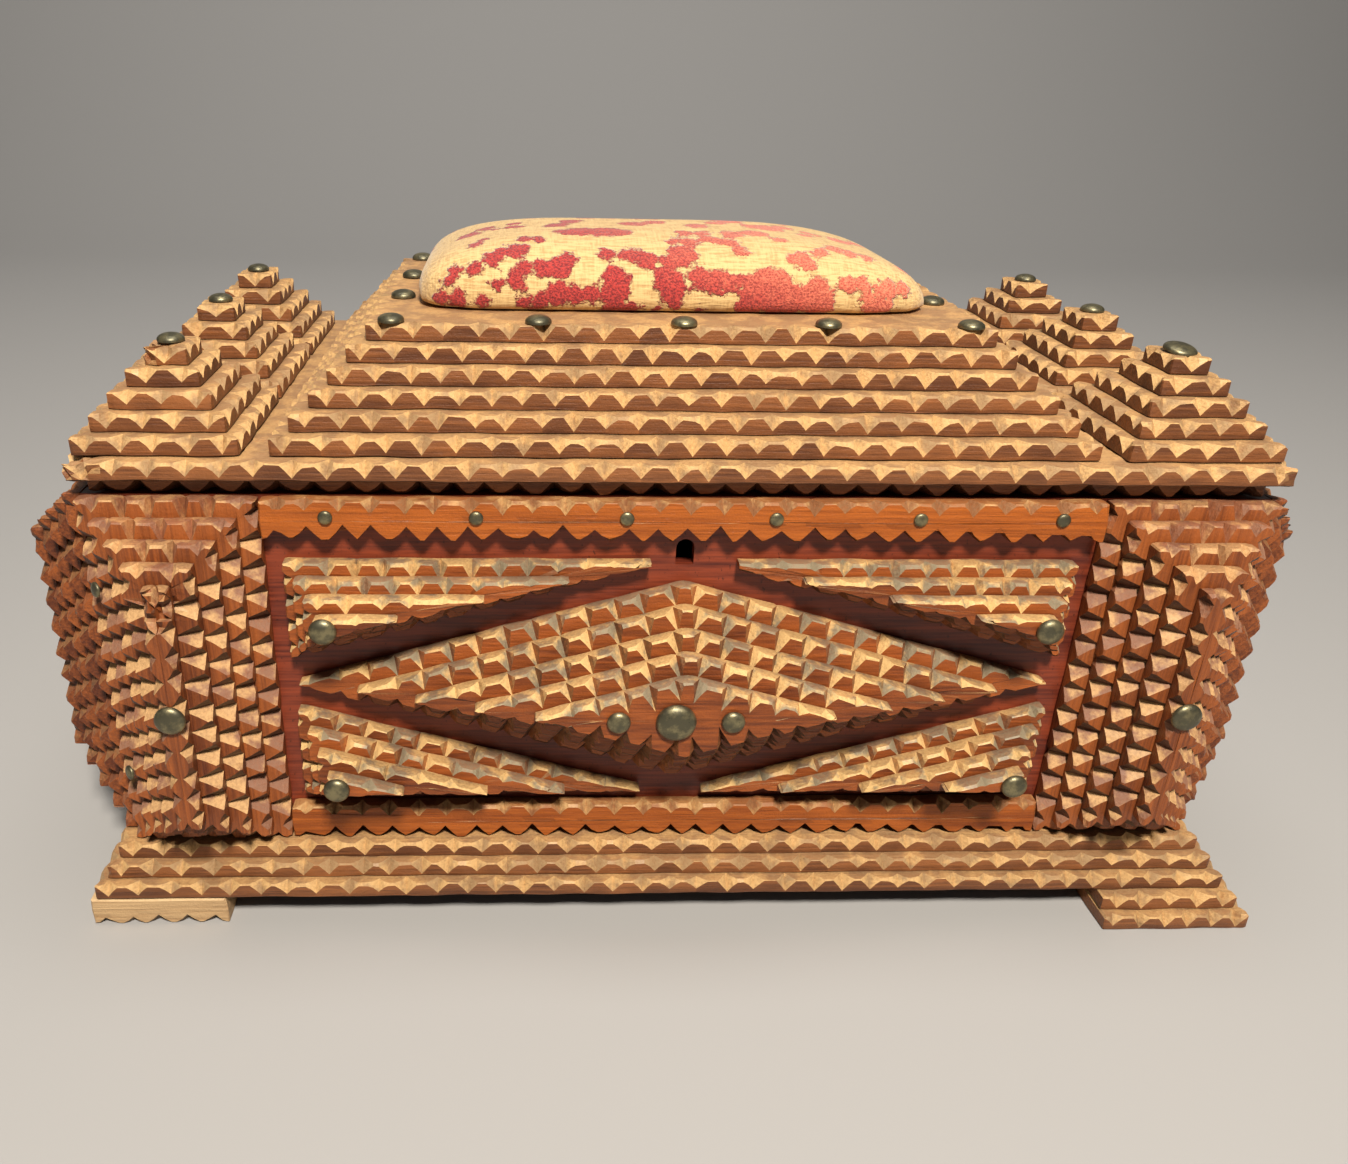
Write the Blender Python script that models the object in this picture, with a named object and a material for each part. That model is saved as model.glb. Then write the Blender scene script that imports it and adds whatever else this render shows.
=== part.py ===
# Tramp art box: layered, chip-carved sheets on a wooden case, with a hinged lid and a cushion.
# Metres, +Z up, front towards -Y. The origin is under the middle of the box, on the floor.

import math

import bmesh
import bpy
from mathutils import Matrix, Vector

# Joint lines
GLUE_LINE = 0.0003
LID_CLEARANCE = 0.0005

# Case
CASE_WIDTH = 0.3492
CASE_DEPTH = 0.1783
CASE_HEIGHT = 0.1187
CASE_WALL = 0.0050
CASE_BOTTOM = 0.0050
KEYHOLE_WIDTH = 0.0055
KEYHOLE_HEIGHT = 0.0083
KEYHOLE_BELOW_RAIL = 0.0015

# Sheet thicknesses
RELIEF_SHEET = 0.0052
RIM_SHEET = 0.0051
MOUND_SHEET = 0.00525
BASE_SHEET = 0.0051
FOOT_SHEET = 0.0052

# Feet
FOOT_LENGTH = 0.0499
FOOT_STEP = 0.0035
FOOT_OUTREACH = 0.0203
FOOT_FORWARD = 0.0240
FOOT_DEPTH = 0.0480
WORN_FOOT_LENGTH = 0.0440
WORN_FOOT_OUTREACH = 0.0144
WORN_FOOT_FORWARD = 0.0162

# Base
BASE_ROWS = 3
BASE_OUTREACH = 0.0124
BASE_FORWARD = 0.0164
BASE_TREAD_END = 0.0035
BASE_TREAD_FRONT = 0.0038

# Front panel
PYRAMID_WIDTH = 0.0509
PYRAMID_ROWS = 5
PYRAMID_TREAD_X = 0.0052
PYRAMID_TREAD_Z = 0.0047
RAIL_SIDE_GAP = 0.0006
TOP_RAIL_HEIGHT = 0.0120
BOTTOM_RAIL_HEIGHT = 0.0121
RELIEF_DROP = 0.0013
RHOMBUS_SIDE_MARGIN = 0.0056
RHOMBUS_RAIL_MARGIN = 0.0133
RHOMBUS_ROWS = 5
RHOMBUS_TREAD = 0.0050
TRIANGLE_ROWS = 4
TRIANGLE_TREAD = 0.0035
TRIANGLE_SIDE_MARGIN = 0.0050
TRIANGLE_RAIL_MARGIN = 0.0063
TRIANGLE_CHANNEL = 0.0091

# Ends
END_ROWS = 5
END_TREAD_Y = 0.0052
END_TREAD_Z = 0.0048

# Lid
RIM_OVERHANG_END = 0.0029
RIM_OVERHANG_FRONT = 0.0052
RIM_STEP = 0.0052
MOUND_ROWS = 6
MOUND_TREAD_X = 0.0050
MOUND_TREAD_Y = 0.0057
MOUND_FRONT_MARGIN = 0.0057
MOUND_BACK_MARGIN = 0.0055
LID_PYRAMIDS = 3
LID_PYRAMID_ROWS = 5
LID_PYRAMID_WIDTH = 0.0470
LID_PYRAMID_SHEET = 0.0052
LID_PYRAMID_TREAD_X = 0.0043
LID_PYRAMID_TREAD_Y = 0.0049
LID_PYRAMID_EDGE = 0.0020
LID_PYRAMID_FRONT_MARGIN = 0.0052
LID_PYRAMID_BACK_MARGIN = 0.0059
LID_PYRAMID_SPACE = 0.0022
LID_PYRAMID_MOUND_GAP = 0.0079

# Cushion
CUSHION_MARGIN_X = 0.0120
CUSHION_MARGIN_Y = 0.0170
CUSHION_HEIGHT = 0.0215
CUSHION_CROWN = 0.25
CUSHION_CURVE = 2 / 3

# Tacks
TACK_DIAMETER = 0.0080
TACK_HEIGHT = 0.0023
PYRAMID_TACK_DIAMETER = 0.0090
CENTRE_TACK_DIAMETER = 0.0120
CENTRE_TACK_HEIGHT = 0.0030
SMALL_TACK_DIAMETER = 0.0070
SMALL_TACK_HEIGHT = 0.0020
CENTRE_TACK_SHIFT = -0.0033
CENTRE_TACK_SPACING = 0.0169
MOUND_TACK_MARGIN_X = 0.0078
MOUND_TACK_MARGIN_Y = 0.0030
MOUND_TACKS_LONG = 5
MOUND_TACKS_SHORT = 4

# Hinges
HINGE_LENGTH = 0.0380
HINGE_END_MARGIN = 0.0696
HINGE_LEAF = 0.0010
CASE_LEAF_HEIGHT = 0.0160
LID_LEAF_HEIGHT = 0.0065
KNUCKLE_RADIUS = 0.0025
KNUCKLE_CLEARANCE = 0.0004

# Carving, coarse enough for solids
CUT_SHARE = 0.80
FRONT_PITCH = 0.0140
LID_PYRAMID_PITCH = 0.0190
MOUND_PITCH = 0.0270
RIM_PITCH = 0.0240
RAIL_PITCH = 0.0165
END_PITCH = 0.0340
BASE_PITCH = 0.0240
WORN_FOOT_PITCH = 0.0088

# Heights
FOOT_TOP = 2 * FOOT_SHEET
BASE_BOTTOM = FOOT_TOP + GLUE_LINE
CASE_FLOOR = BASE_BOTTOM + BASE_ROWS * BASE_SHEET + GLUE_LINE
CASE_TOP = CASE_FLOOR + CASE_HEIGHT
RIM_BOTTOM = CASE_TOP + LID_CLEARANCE
RIM_MIDDLE = RIM_BOTTOM + RIM_SHEET
LID_BOARD_BOTTOM = RIM_MIDDLE + GLUE_LINE
LID_TOP = LID_BOARD_BOTTOM + RIM_SHEET
MOUND_BOTTOM = LID_TOP + GLUE_LINE
MOUND_TOP = MOUND_BOTTOM + MOUND_ROWS * MOUND_SHEET

# Widths and depths
HALF_CASE = CASE_WIDTH / 2
FRONT_REACH = GLUE_LINE + RHOMBUS_ROWS * RELIEF_SHEET + GLUE_LINE + CENTRE_TACK_HEIGHT
BACK_REACH = GLUE_LINE + 2 * KNUCKLE_RADIUS
CASE_FRONT = (FRONT_REACH - CASE_DEPTH - BACK_REACH) / 2
CASE_BACK = CASE_FRONT + CASE_DEPTH
RIM_FRONT = CASE_FRONT - RIM_OVERHANG_FRONT
HALF_RIM = HALF_CASE + RIM_OVERHANG_END
HINGE_Y = CASE_BACK + GLUE_LINE + KNUCKLE_RADIUS
HINGE_Z = (CASE_TOP + RIM_BOTTOM) / 2


def clear_scene():
    """Remove every object that the file opened with."""
    for item in list(bpy.data.objects):
        bpy.data.objects.remove(item)


def finish(name, colour, roughness, metallic=0.0):
    """Make one Principled finish."""
    material = bpy.data.materials.new(name)
    material.use_nodes = True
    shader = material.node_tree.nodes["Principled BSDF"]
    shader.inputs["Base Color"].default_value = (*colour, 1.0)
    shader.inputs["Roughness"].default_value = roughness
    shader.inputs["Metallic"].default_value = metallic
    material.diffuse_color = (*colour, 1.0)
    return material


def add_object(name, shape, material, place=Matrix.Identity(4), parent=None):
    """Turn a bmesh into a placed object, hung from a parent where it has one."""
    bmesh.ops.recalc_face_normals(shape, faces=shape.faces)
    mesh = bpy.data.meshes.new(name)
    shape.to_mesh(mesh)
    shape.free()
    mesh.materials.append(material)
    return place_mesh(name, mesh, place, parent)


def place_mesh(name, mesh, place, parent=None):
    """Place a mesh as an object of its own."""
    item = bpy.data.objects.new(name, mesh)
    bpy.context.scene.collection.objects.link(item)
    item.matrix_world = place
    if parent is not None:
        item.parent = parent
        item.matrix_parent_inverse = parent.matrix_world.inverted()
    return item


def frame_of(across, upward, outward, origin):
    """Build the matrix of a local frame from its three axes and its origin."""
    columns = Matrix((across, upward, outward)).transposed()
    return Matrix.Translation(origin) @ columns.to_4x4()


def facing_up(height):
    """Local u, v and w are X, Y and Z."""
    return frame_of((1, 0, 0), (0, 1, 0), (0, 0, 1), (0, 0, height))


def facing_down(height):
    """Local u, v and w are X, -Y and -Z."""
    return frame_of((1, 0, 0), (0, -1, 0), (0, 0, -1), (0, 0, height))


def facing_front(front):
    """Local u, v and w are X, Z and -Y."""
    return frame_of((1, 0, 0), (0, 0, 1), (0, -1, 0), (0, front, 0))


def facing_end(side, reach):
    """Local u, v and w are Y, Z and outwards, for the end on the given side."""
    return frame_of((0, side, 0), (0, 0, 1), (side, 0, 0), (side * reach, 0, 0))


def rectangle(left, right, low, high):
    """List a rectangle's corners, anticlockwise from the lower left. Its sides: low, right, high, left."""
    return [(left, low), (right, low), (right, high), (left, high)]


def inset_outline(outline, insets):
    """Move each side of a convex outline inwards by its own inset, and meet the sides again."""
    count = len(outline)
    sides = []
    for index in range(count):
        start = Vector(outline[index])
        end = Vector(outline[(index + 1) % count])
        along = (end - start).normalized()
        inward = Vector((-along.y, along.x))
        sides.append((start + inward * insets[index], along))
    corners = []
    for index in range(count):
        before, before_along = sides[index - 1]
        point, along = sides[index]
        offset = point - before
        turn = before_along.x * along.y - before_along.y * along.x
        step = (offset.x * along.y - offset.y * along.x) / turn
        corners.append(tuple(before + before_along * step))
    return corners


def corner_slopes(outline):
    """Give the tangent of half of each corner's angle."""
    slopes = []
    for index, corner in enumerate(outline):
        here = Vector(corner)
        before = Vector(outline[index - 1]) - here
        after = Vector(outline[(index + 1) % len(outline)]) - here
        slopes.append(math.tan(before.angle(after) / 2))
    return slopes


def cut_side(outline, index, pitch, depth):
    """List the V cuts along one side: the tooth tips, and each valley's two ends, on wall and tread."""
    slopes = corner_slopes(outline)
    after = (index + 1) % len(outline)
    start = Vector(outline[index])
    end = Vector(outline[after])
    length = (end - start).length
    along = (end - start) / length
    inward = Vector((-along.y, along.x))
    count = max(1, round(length / pitch))
    spacing = length / count
    tips = []
    walls = []
    treads = []
    for cut in range(count):
        run = (cut + 0.5) * spacing
        room = CUT_SHARE * min(run * slopes[index], (length - run) * slopes[after])
        middle = start + along * run
        walls.append(tuple(middle))
        treads.append(tuple(middle + inward * min(depth, room)))
        tips.append(tuple(start + along * (cut + 1) * spacing))
    return tips[:-1], walls, treads


def carve_stack(outline, insets, rows, height, pitch, carved, depth, fall=None):
    """Close one body around a stack of sheets. Each sheet's upper arris has V cuts on the carved sides.

    A cut runs the given depth into the tread and the given fall down the wall.
    """
    fall = CUT_SHARE * height if fall is None else fall
    shape = bmesh.new()
    known = {}

    def vertex(point, level):
        key = (round(point[0] * 1e7), round(point[1] * 1e7), round(level * 1e7))
        if key not in known:
            known[key] = shape.verts.new((point[0], point[1], level))
        return known[key]

    count = len(outline)
    shape.faces.new([vertex(point, 0.0) for point in reversed(outline)])
    for row in range(rows):
        low = row * height
        high = low + height
        drop = high - fall
        upper = inset_outline(outline, insets)
        last = row == rows - 1
        crest = []
        for index in range(count):
            here = outline[index]
            there = outline[(index + 1) % count]
            arris = [vertex(here, high)]
            top_edge = [vertex(here, high)]
            if index in carved:
                tips, walls, treads = cut_side(outline, index, pitch, depth)
                tips = tips + [there]
                tip = here
                for cut, wall in enumerate(walls):
                    valley = vertex(wall, drop)
                    back = vertex(treads[cut], high)
                    shape.faces.new([vertex(tip, high), valley, back])
                    shape.faces.new([valley, vertex(tips[cut], high), back])
                    tip = tips[cut]
                    top_edge += [valley, vertex(tip, high)]
                    arris += [back, vertex(tip, high)]
            elif insets[index] == 0 and not last:
                steps = [upper[index], upper[(index + 1) % count], there]
                top_edge += [vertex(point, high) for point in steps]
                top_edge = list(dict.fromkeys(top_edge))
            else:
                top_edge.append(vertex(there, high))
                arris.append(vertex(there, high))
            wall_face = [vertex(there, low), *reversed(top_edge), vertex(here, low)]
            shape.faces.new(wall_face)
            crest += arris[:-1]
            if not last and insets[index] > 0:
                inner = [vertex(upper[(index + 1) % count], high), vertex(upper[index], high)]
                shape.faces.new(arris + inner)
        if last:
            shape.faces.new(crest)
        outline = upper
    return shape


def box_shape(left, right, front, back, low, high):
    """Make a plain board."""
    shape = bmesh.new()
    size = Vector((right - left, back - front, high - low))
    middle = Vector((right + left, back + front, high + low)) / 2
    place = Matrix.Translation(middle) @ Matrix.Diagonal((*size, 1.0))
    bmesh.ops.create_cube(shape, size=1.0, matrix=place)
    return shape


def turned_shape(profile, sides):
    """Turn a profile of (radius, height) points round Z and close both ends."""
    shape = bmesh.new()
    rings = []
    for radius, height in profile:
        ring = []
        for step in range(sides):
            angle = math.tau * step / sides
            ring.append(shape.verts.new((radius * math.cos(angle), radius * math.sin(angle), height)))
        rings.append(ring)
    for lower, upper in zip(rings, rings[1:]):
        for step in range(sides):
            after = (step + 1) % sides
            shape.faces.new([lower[step], lower[after], upper[after], upper[step]])
    shape.faces.new(list(reversed(rings[0])))
    shape.faces.new(rings[-1])
    return shape


def hide_cutter(item):
    """Keep a helper shape out of the finished model."""
    item.hide_render = True
    item.display_type = "WIRE"


def combine(item, other, operation):
    """Cut or join another shape with a Boolean modifier."""
    hide_cutter(other)
    modifier = item.modifiers.new(other.name, "BOOLEAN")
    modifier.operation = operation
    modifier.object = other


def make_case(material, panel_material):
    """Four walls and a bottom, butted with a glue line between the boards."""
    inner = HALF_CASE - CASE_WALL - GLUE_LINE
    inner_front = CASE_FRONT + CASE_WALL + GLUE_LINE
    inner_back = CASE_BACK - CASE_WALL - GLUE_LINE
    front = box_shape(-HALF_CASE, HALF_CASE, CASE_FRONT, CASE_FRONT + CASE_WALL, CASE_FLOOR, CASE_TOP)
    front = add_object("case_front", front, panel_material)
    cut_keyhole(front, panel_material)
    back = box_shape(-HALF_CASE, HALF_CASE, CASE_BACK - CASE_WALL, CASE_BACK, CASE_FLOOR, CASE_TOP)
    add_object("case_back", back, material)
    for name, side in (("case_left", -1), ("case_right", 1)):
        edges = sorted((side * HALF_CASE, side * (HALF_CASE - CASE_WALL)))
        wall = box_shape(*edges, inner_front, inner_back, CASE_FLOOR, CASE_TOP)
        add_object(name, wall, material)
    bottom = box_shape(-inner, inner, inner_front, inner_back, CASE_FLOOR, CASE_FLOOR + CASE_BOTTOM)
    add_object("case_bottom", bottom, material)


def cut_keyhole(front, material):
    """Cut a slot with a round top through the front wall, just under the top rail."""
    top = CASE_TOP - TOP_RAIL_HEIGHT - KEYHOLE_BELOW_RAIL
    radius = KEYHOLE_WIDTH / 2
    steps = 8
    points = [(-radius, top - KEYHOLE_HEIGHT), (radius, top - KEYHOLE_HEIGHT)]
    for step in range(steps + 1):
        angle = math.pi * step / steps
        points.append((radius * math.cos(angle), top - radius + radius * math.sin(angle)))
    shape = bmesh.new()
    ring = [shape.verts.new((x, CASE_FRONT - CASE_WALL, z)) for x, z in points]
    face = shape.faces.new(ring)
    pulled = bmesh.ops.extrude_face_region(shape, geom=[face])
    moved = [item for item in pulled["geom"] if isinstance(item, bmesh.types.BMVert)]
    bmesh.ops.translate(shape, verts=moved, vec=(0, 3 * CASE_WALL, 0))
    cutter = add_object("keyhole_cutter", shape, material)
    combine(front, cutter, "DIFFERENCE")


def make_base(material):
    """Three rows that step in upwards under the case, flush with its back."""
    half = HALF_CASE + BASE_OUTREACH
    outline = rectangle(-half, half, CASE_FRONT - BASE_FORWARD, CASE_BACK)
    insets = [BASE_TREAD_FRONT, BASE_TREAD_END, 0, BASE_TREAD_END]
    depth = CUT_SHARE * BASE_TREAD_END
    shape = carve_stack(outline, insets, BASE_ROWS, BASE_SHEET, BASE_PITCH, (0, 1, 3), depth)
    add_object("base", shape, material, facing_up(BASE_BOTTOM))


def make_feet(material, worn_material):
    """Three two-sheet corner feet, and the front left one that has lost its outer sheets."""
    outer = HALF_CASE + FOOT_OUTREACH
    inner = outer - FOOT_LENGTH
    front = CASE_FRONT - FOOT_FORWARD
    depth = CUT_SHARE * FOOT_STEP
    right_front = rectangle(inner, outer, front, front + FOOT_DEPTH)
    right_back = rectangle(inner, outer, CASE_BACK - FOOT_DEPTH, CASE_BACK)
    left_back = rectangle(-outer, -inner, CASE_BACK - FOOT_DEPTH, CASE_BACK)
    feet = (
        ("foot_front_right", right_front, [FOOT_STEP, FOOT_STEP, 0, 0], (0, 1)),
        ("foot_back_right", right_back, [0, FOOT_STEP, 0, 0], (1,)),
        ("foot_back_left", left_back, [0, 0, 0, FOOT_STEP], (3,)),
    )
    for name, outline, insets, carved in feet:
        shape = carve_stack(outline, insets, 2, FOOT_SHEET, FRONT_PITCH, carved, depth)
        add_object(name, shape, material, facing_up(0.0))
    worn_outer = -HALF_CASE - WORN_FOOT_OUTREACH
    worn_front = CASE_FRONT - WORN_FOOT_FORWARD
    outline = rectangle(worn_outer, worn_outer + WORN_FOOT_LENGTH, 0.0, FOOT_TOP)
    shape = carve_stack(outline, [0, 0, 0, 0], 1, FOOT_DEPTH, WORN_FOOT_PITCH, (0,), depth, depth)
    place = facing_front(worn_front + FOOT_DEPTH)
    add_object("foot_front_left", shape, worn_material, place)


def make_front_pyramids(material):
    """A stepped upright pyramid on each front corner."""
    low = CASE_FLOOR
    depth = CUT_SHARE * PYRAMID_TREAD_Z
    outer = HALF_CASE + RAIL_SIDE_GAP
    for name, side in (("front_pyramid_left", -1), ("front_pyramid_right", 1)):
        edges = sorted((side * outer, side * (outer - PYRAMID_WIDTH)))
        outline = rectangle(*edges, low, CASE_TOP)
        insets = [PYRAMID_TREAD_Z, PYRAMID_TREAD_X] * 2
        carved = (0, 1, 2, 3)
        shape = carve_stack(outline, insets, PYRAMID_ROWS, RELIEF_SHEET, FRONT_PITCH, carved, depth)
        add_object(name, shape, material, facing_front(CASE_FRONT - GLUE_LINE))


def make_end_pyramids(material):
    """One wide stepped pyramid over the whole of each end."""
    depth = CUT_SHARE * END_TREAD_Z
    for name, side in (("end_pyramid_left", -1), ("end_pyramid_right", 1)):
        edges = sorted((side * CASE_FRONT, side * CASE_BACK))
        outline = rectangle(*edges, CASE_FLOOR, CASE_TOP)
        insets = [END_TREAD_Z, END_TREAD_Y, END_TREAD_Z, END_TREAD_Y]
        carved = (0, 1, 2, 3)
        shape = carve_stack(outline, insets, END_ROWS, RELIEF_SHEET, END_PITCH, carved, depth)
        add_object(name, shape, material, facing_end(side, HALF_CASE + GLUE_LINE))


def make_rails(material):
    """A notched strip along the top of the front panel, and one along its bottom."""
    half = HALF_CASE + RAIL_SIDE_GAP - PYRAMID_WIDTH - RAIL_SIDE_GAP
    depth = CUT_SHARE * RELIEF_SHEET
    rails = (
        ("front_rail_top", CASE_TOP - TOP_RAIL_HEIGHT, CASE_TOP),
        ("front_rail_bottom", CASE_FLOOR, CASE_FLOOR + BOTTOM_RAIL_HEIGHT),
    )
    for name, low, high in rails:
        outline = rectangle(-half, half, low, high)
        shape = carve_stack(outline, [0, 0, 0, 0], 1, RELIEF_SHEET, RAIL_PITCH, (0, 2), depth)
        add_object(name, shape, material, facing_front(CASE_FRONT - GLUE_LINE))


def panel_field():
    """Give the panel's free field between the corner pyramids and the rails."""
    half = HALF_CASE - PYRAMID_WIDTH
    low = CASE_FLOOR + BOTTOM_RAIL_HEIGHT
    high = CASE_TOP - TOP_RAIL_HEIGHT
    return half, low, high


def rhombus_reach():
    """Give the rhombus's half width, its half height and the height of its centre, just under the middle."""
    half, low, high = panel_field()
    return half - RHOMBUS_SIDE_MARGIN, (high - low) / 2 - RHOMBUS_RAIL_MARGIN, (low + high) / 2 - RELIEF_DROP


def make_rhombus(material):
    """The long stepped rhombus in the middle of the front."""
    half_width, half_height, middle = rhombus_reach()
    outline = [
        (-half_width, middle),
        (0.0, middle - half_height),
        (half_width, middle),
        (0.0, middle + half_height),
    ]
    depth = CUT_SHARE * RHOMBUS_TREAD
    insets = [RHOMBUS_TREAD] * 4
    carved = (0, 1, 2, 3)
    shape = carve_stack(outline, insets, RHOMBUS_ROWS, RELIEF_SHEET, FRONT_PITCH, carved, depth)
    add_object("rhombus", shape, material, facing_front(CASE_FRONT - GLUE_LINE))


def triangle_outline(side, level):
    """Outline a corner triangle whose long slope runs along the rhombus, a channel away from it."""
    half, low, high = panel_field()
    half_width, half_height, middle = rhombus_reach()
    slope = half_height / half_width
    lift = TRIANGLE_CHANNEL * math.hypot(1, slope)
    outer = half - TRIANGLE_SIDE_MARGIN
    edge = (high - low) / 2 - TRIANGLE_RAIL_MARGIN
    foot = half_height - slope * outer + lift
    tip = (half_height + lift - edge) / slope
    corners = [(-outer, foot), (-tip, edge), (-outer, edge)]
    if side * level > 0:
        corners = [corners[1], corners[0], corners[2]]
    return [(-side * x, middle + level * z) for x, z in corners]


def make_triangles(material):
    """Four stepped triangles that fill the corners round the rhombus."""
    depth = CUT_SHARE * TRIANGLE_TREAD
    corners = (
        ("triangle_upper_left", -1, 1),
        ("triangle_upper_right", 1, 1),
        ("triangle_lower_left", -1, -1),
        ("triangle_lower_right", 1, -1),
    )
    for name, side, level in corners:
        outline = triangle_outline(side, level)
        insets = [TRIANGLE_TREAD] * 3
        carved = (0, 1, 2)
        shape = carve_stack(outline, insets, TRIANGLE_ROWS, RELIEF_SHEET, FRONT_PITCH, carved, depth)
        add_object(name, shape, material, facing_front(CASE_FRONT - GLUE_LINE))


def make_lid(material, hinge):
    """The lid board with its notched edge, and the set-back sheet under it."""
    outline = rectangle(-HALF_RIM, HALF_RIM, RIM_FRONT, CASE_BACK)
    depth = CUT_SHARE * RIM_OVERHANG_FRONT
    insets = [0, 0, 0, 0]
    shape = carve_stack(outline, insets, 1, RIM_SHEET, RIM_PITCH, (0, 1, 3), depth)
    add_object("lid_board", shape, material, facing_up(LID_BOARD_BOTTOM), hinge)
    half = HALF_RIM - RIM_STEP
    outline = rectangle(-half, half, -CASE_BACK, -RIM_FRONT - RIM_STEP)
    shape = carve_stack(outline, insets, 1, RIM_SHEET, RIM_PITCH, (1, 2, 3), depth)
    add_object("lid_rim", shape, material, facing_down(RIM_MIDDLE), hinge)


def mound_outline():
    """Outline the mound's lowest sheet."""
    half = HALF_RIM - LID_PYRAMID_EDGE - LID_PYRAMID_WIDTH - LID_PYRAMID_MOUND_GAP
    return rectangle(-half, half, RIM_FRONT + MOUND_FRONT_MARGIN, CASE_BACK - MOUND_BACK_MARGIN)


def mound_top_outline():
    """Outline the mound's top sheet."""
    steps = MOUND_ROWS - 1
    insets = [steps * MOUND_TREAD_Y, steps * MOUND_TREAD_X] * 2
    return inset_outline(mound_outline(), insets)


def make_mound(material, hinge):
    """The stepped mound in the middle of the lid."""
    insets = [MOUND_TREAD_Y, MOUND_TREAD_X] * 2
    depth = CUT_SHARE * MOUND_TREAD_X
    carved = (0, 1, 2, 3)
    shape = carve_stack(mound_outline(), insets, MOUND_ROWS, MOUND_SHEET, MOUND_PITCH, carved, depth)
    add_object("mound", shape, material, facing_up(MOUND_BOTTOM), hinge)


def lid_pyramid_places():
    """List each lid pyramid's name, outline and middle."""
    front = RIM_FRONT + LID_PYRAMID_FRONT_MARGIN
    back = CASE_BACK - LID_PYRAMID_BACK_MARGIN
    spaces = (LID_PYRAMIDS - 1) * LID_PYRAMID_SPACE
    length = (back - front - spaces) / LID_PYRAMIDS
    outer = HALF_RIM - LID_PYRAMID_EDGE
    places = []
    for name, side in (("left", -1), ("right", 1)):
        for index in range(LID_PYRAMIDS):
            low = front + index * (length + LID_PYRAMID_SPACE)
            edges = sorted((side * outer, side * (outer - LID_PYRAMID_WIDTH)))
            outline = rectangle(*edges, low, low + length)
            middle = (side * (outer - LID_PYRAMID_WIDTH / 2), low + length / 2)
            places.append((f"{name}_{index + 1}", outline, middle))
    return places


def make_lid_pyramids(material, hinge):
    """Three stepped pyramids along each end of the lid."""
    insets = [LID_PYRAMID_TREAD_Y, LID_PYRAMID_TREAD_X] * 2
    depth = CUT_SHARE * LID_PYRAMID_TREAD_X
    carved = (0, 1, 2, 3)
    for name, outline, middle in lid_pyramid_places():
        shape = carve_stack(
            outline, insets, LID_PYRAMID_ROWS, LID_PYRAMID_SHEET, LID_PYRAMID_PITCH, carved, depth)
        add_object(f"lid_pyramid_{name}", shape, material, facing_up(MOUND_BOTTOM), hinge)


def make_cushion(material, hinge):
    """A plump pincushion that lies on the mound, inside the ring of tacks."""
    corners = mound_top_outline()
    left, front = corners[0]
    right, back = corners[2]
    half_x = (right - left) / 2 - CUSHION_MARGIN_X
    half_y = (back - front) / 2 - CUSHION_MARGIN_Y
    middle_y = (front + back) / 2
    sides = 28
    levels = 5
    shape = bmesh.new()
    rings = []
    for level in range(levels):
        share = level / (levels - 1)
        height = CUSHION_HEIGHT * math.sin(share * math.pi / 2) ** CUSHION_CURVE
        swell = CUSHION_CROWN + (1 - CUSHION_CROWN) * math.cos(share * math.pi / 2) ** CUSHION_CURVE
        ring = []
        for step in range(sides):
            angle = math.tau * step / sides
            across = math.copysign(abs(math.cos(angle)) ** 0.4, math.cos(angle))
            along = math.copysign(abs(math.sin(angle)) ** 0.4, math.sin(angle))
            ring.append(shape.verts.new((half_x * swell * across, half_y * swell * along, height)))
        rings.append(ring)
    for lower, upper in zip(rings, rings[1:]):
        for step in range(sides):
            after = (step + 1) % sides
            shape.faces.new([lower[step], lower[after], upper[after], upper[step]])
    shape.faces.new(list(reversed(rings[0])))
    shape.faces.new(rings[-1])
    place = Matrix.Translation((0, middle_y, MOUND_TOP + GLUE_LINE))
    cushion = add_object("cushion", shape, material, place, hinge)
    cushion.data.shade_smooth()


def tack_mesh(name, diameter, height, material):
    """Make one domed tack head, flat underneath."""
    radius = diameter / 2
    profile = [(radius, 0.0), (0.80 * radius, 0.62 * height), (0.40 * radius, height)]
    shape = turned_shape(profile, 8)
    bmesh.ops.recalc_face_normals(shape, faces=shape.faces)
    mesh = bpy.data.meshes.new(name)
    shape.to_mesh(mesh)
    shape.free()
    mesh.materials.append(material)
    mesh.shade_smooth()
    mesh.set_sharp_from_angle(angle=math.radians(50))
    return mesh


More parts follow.
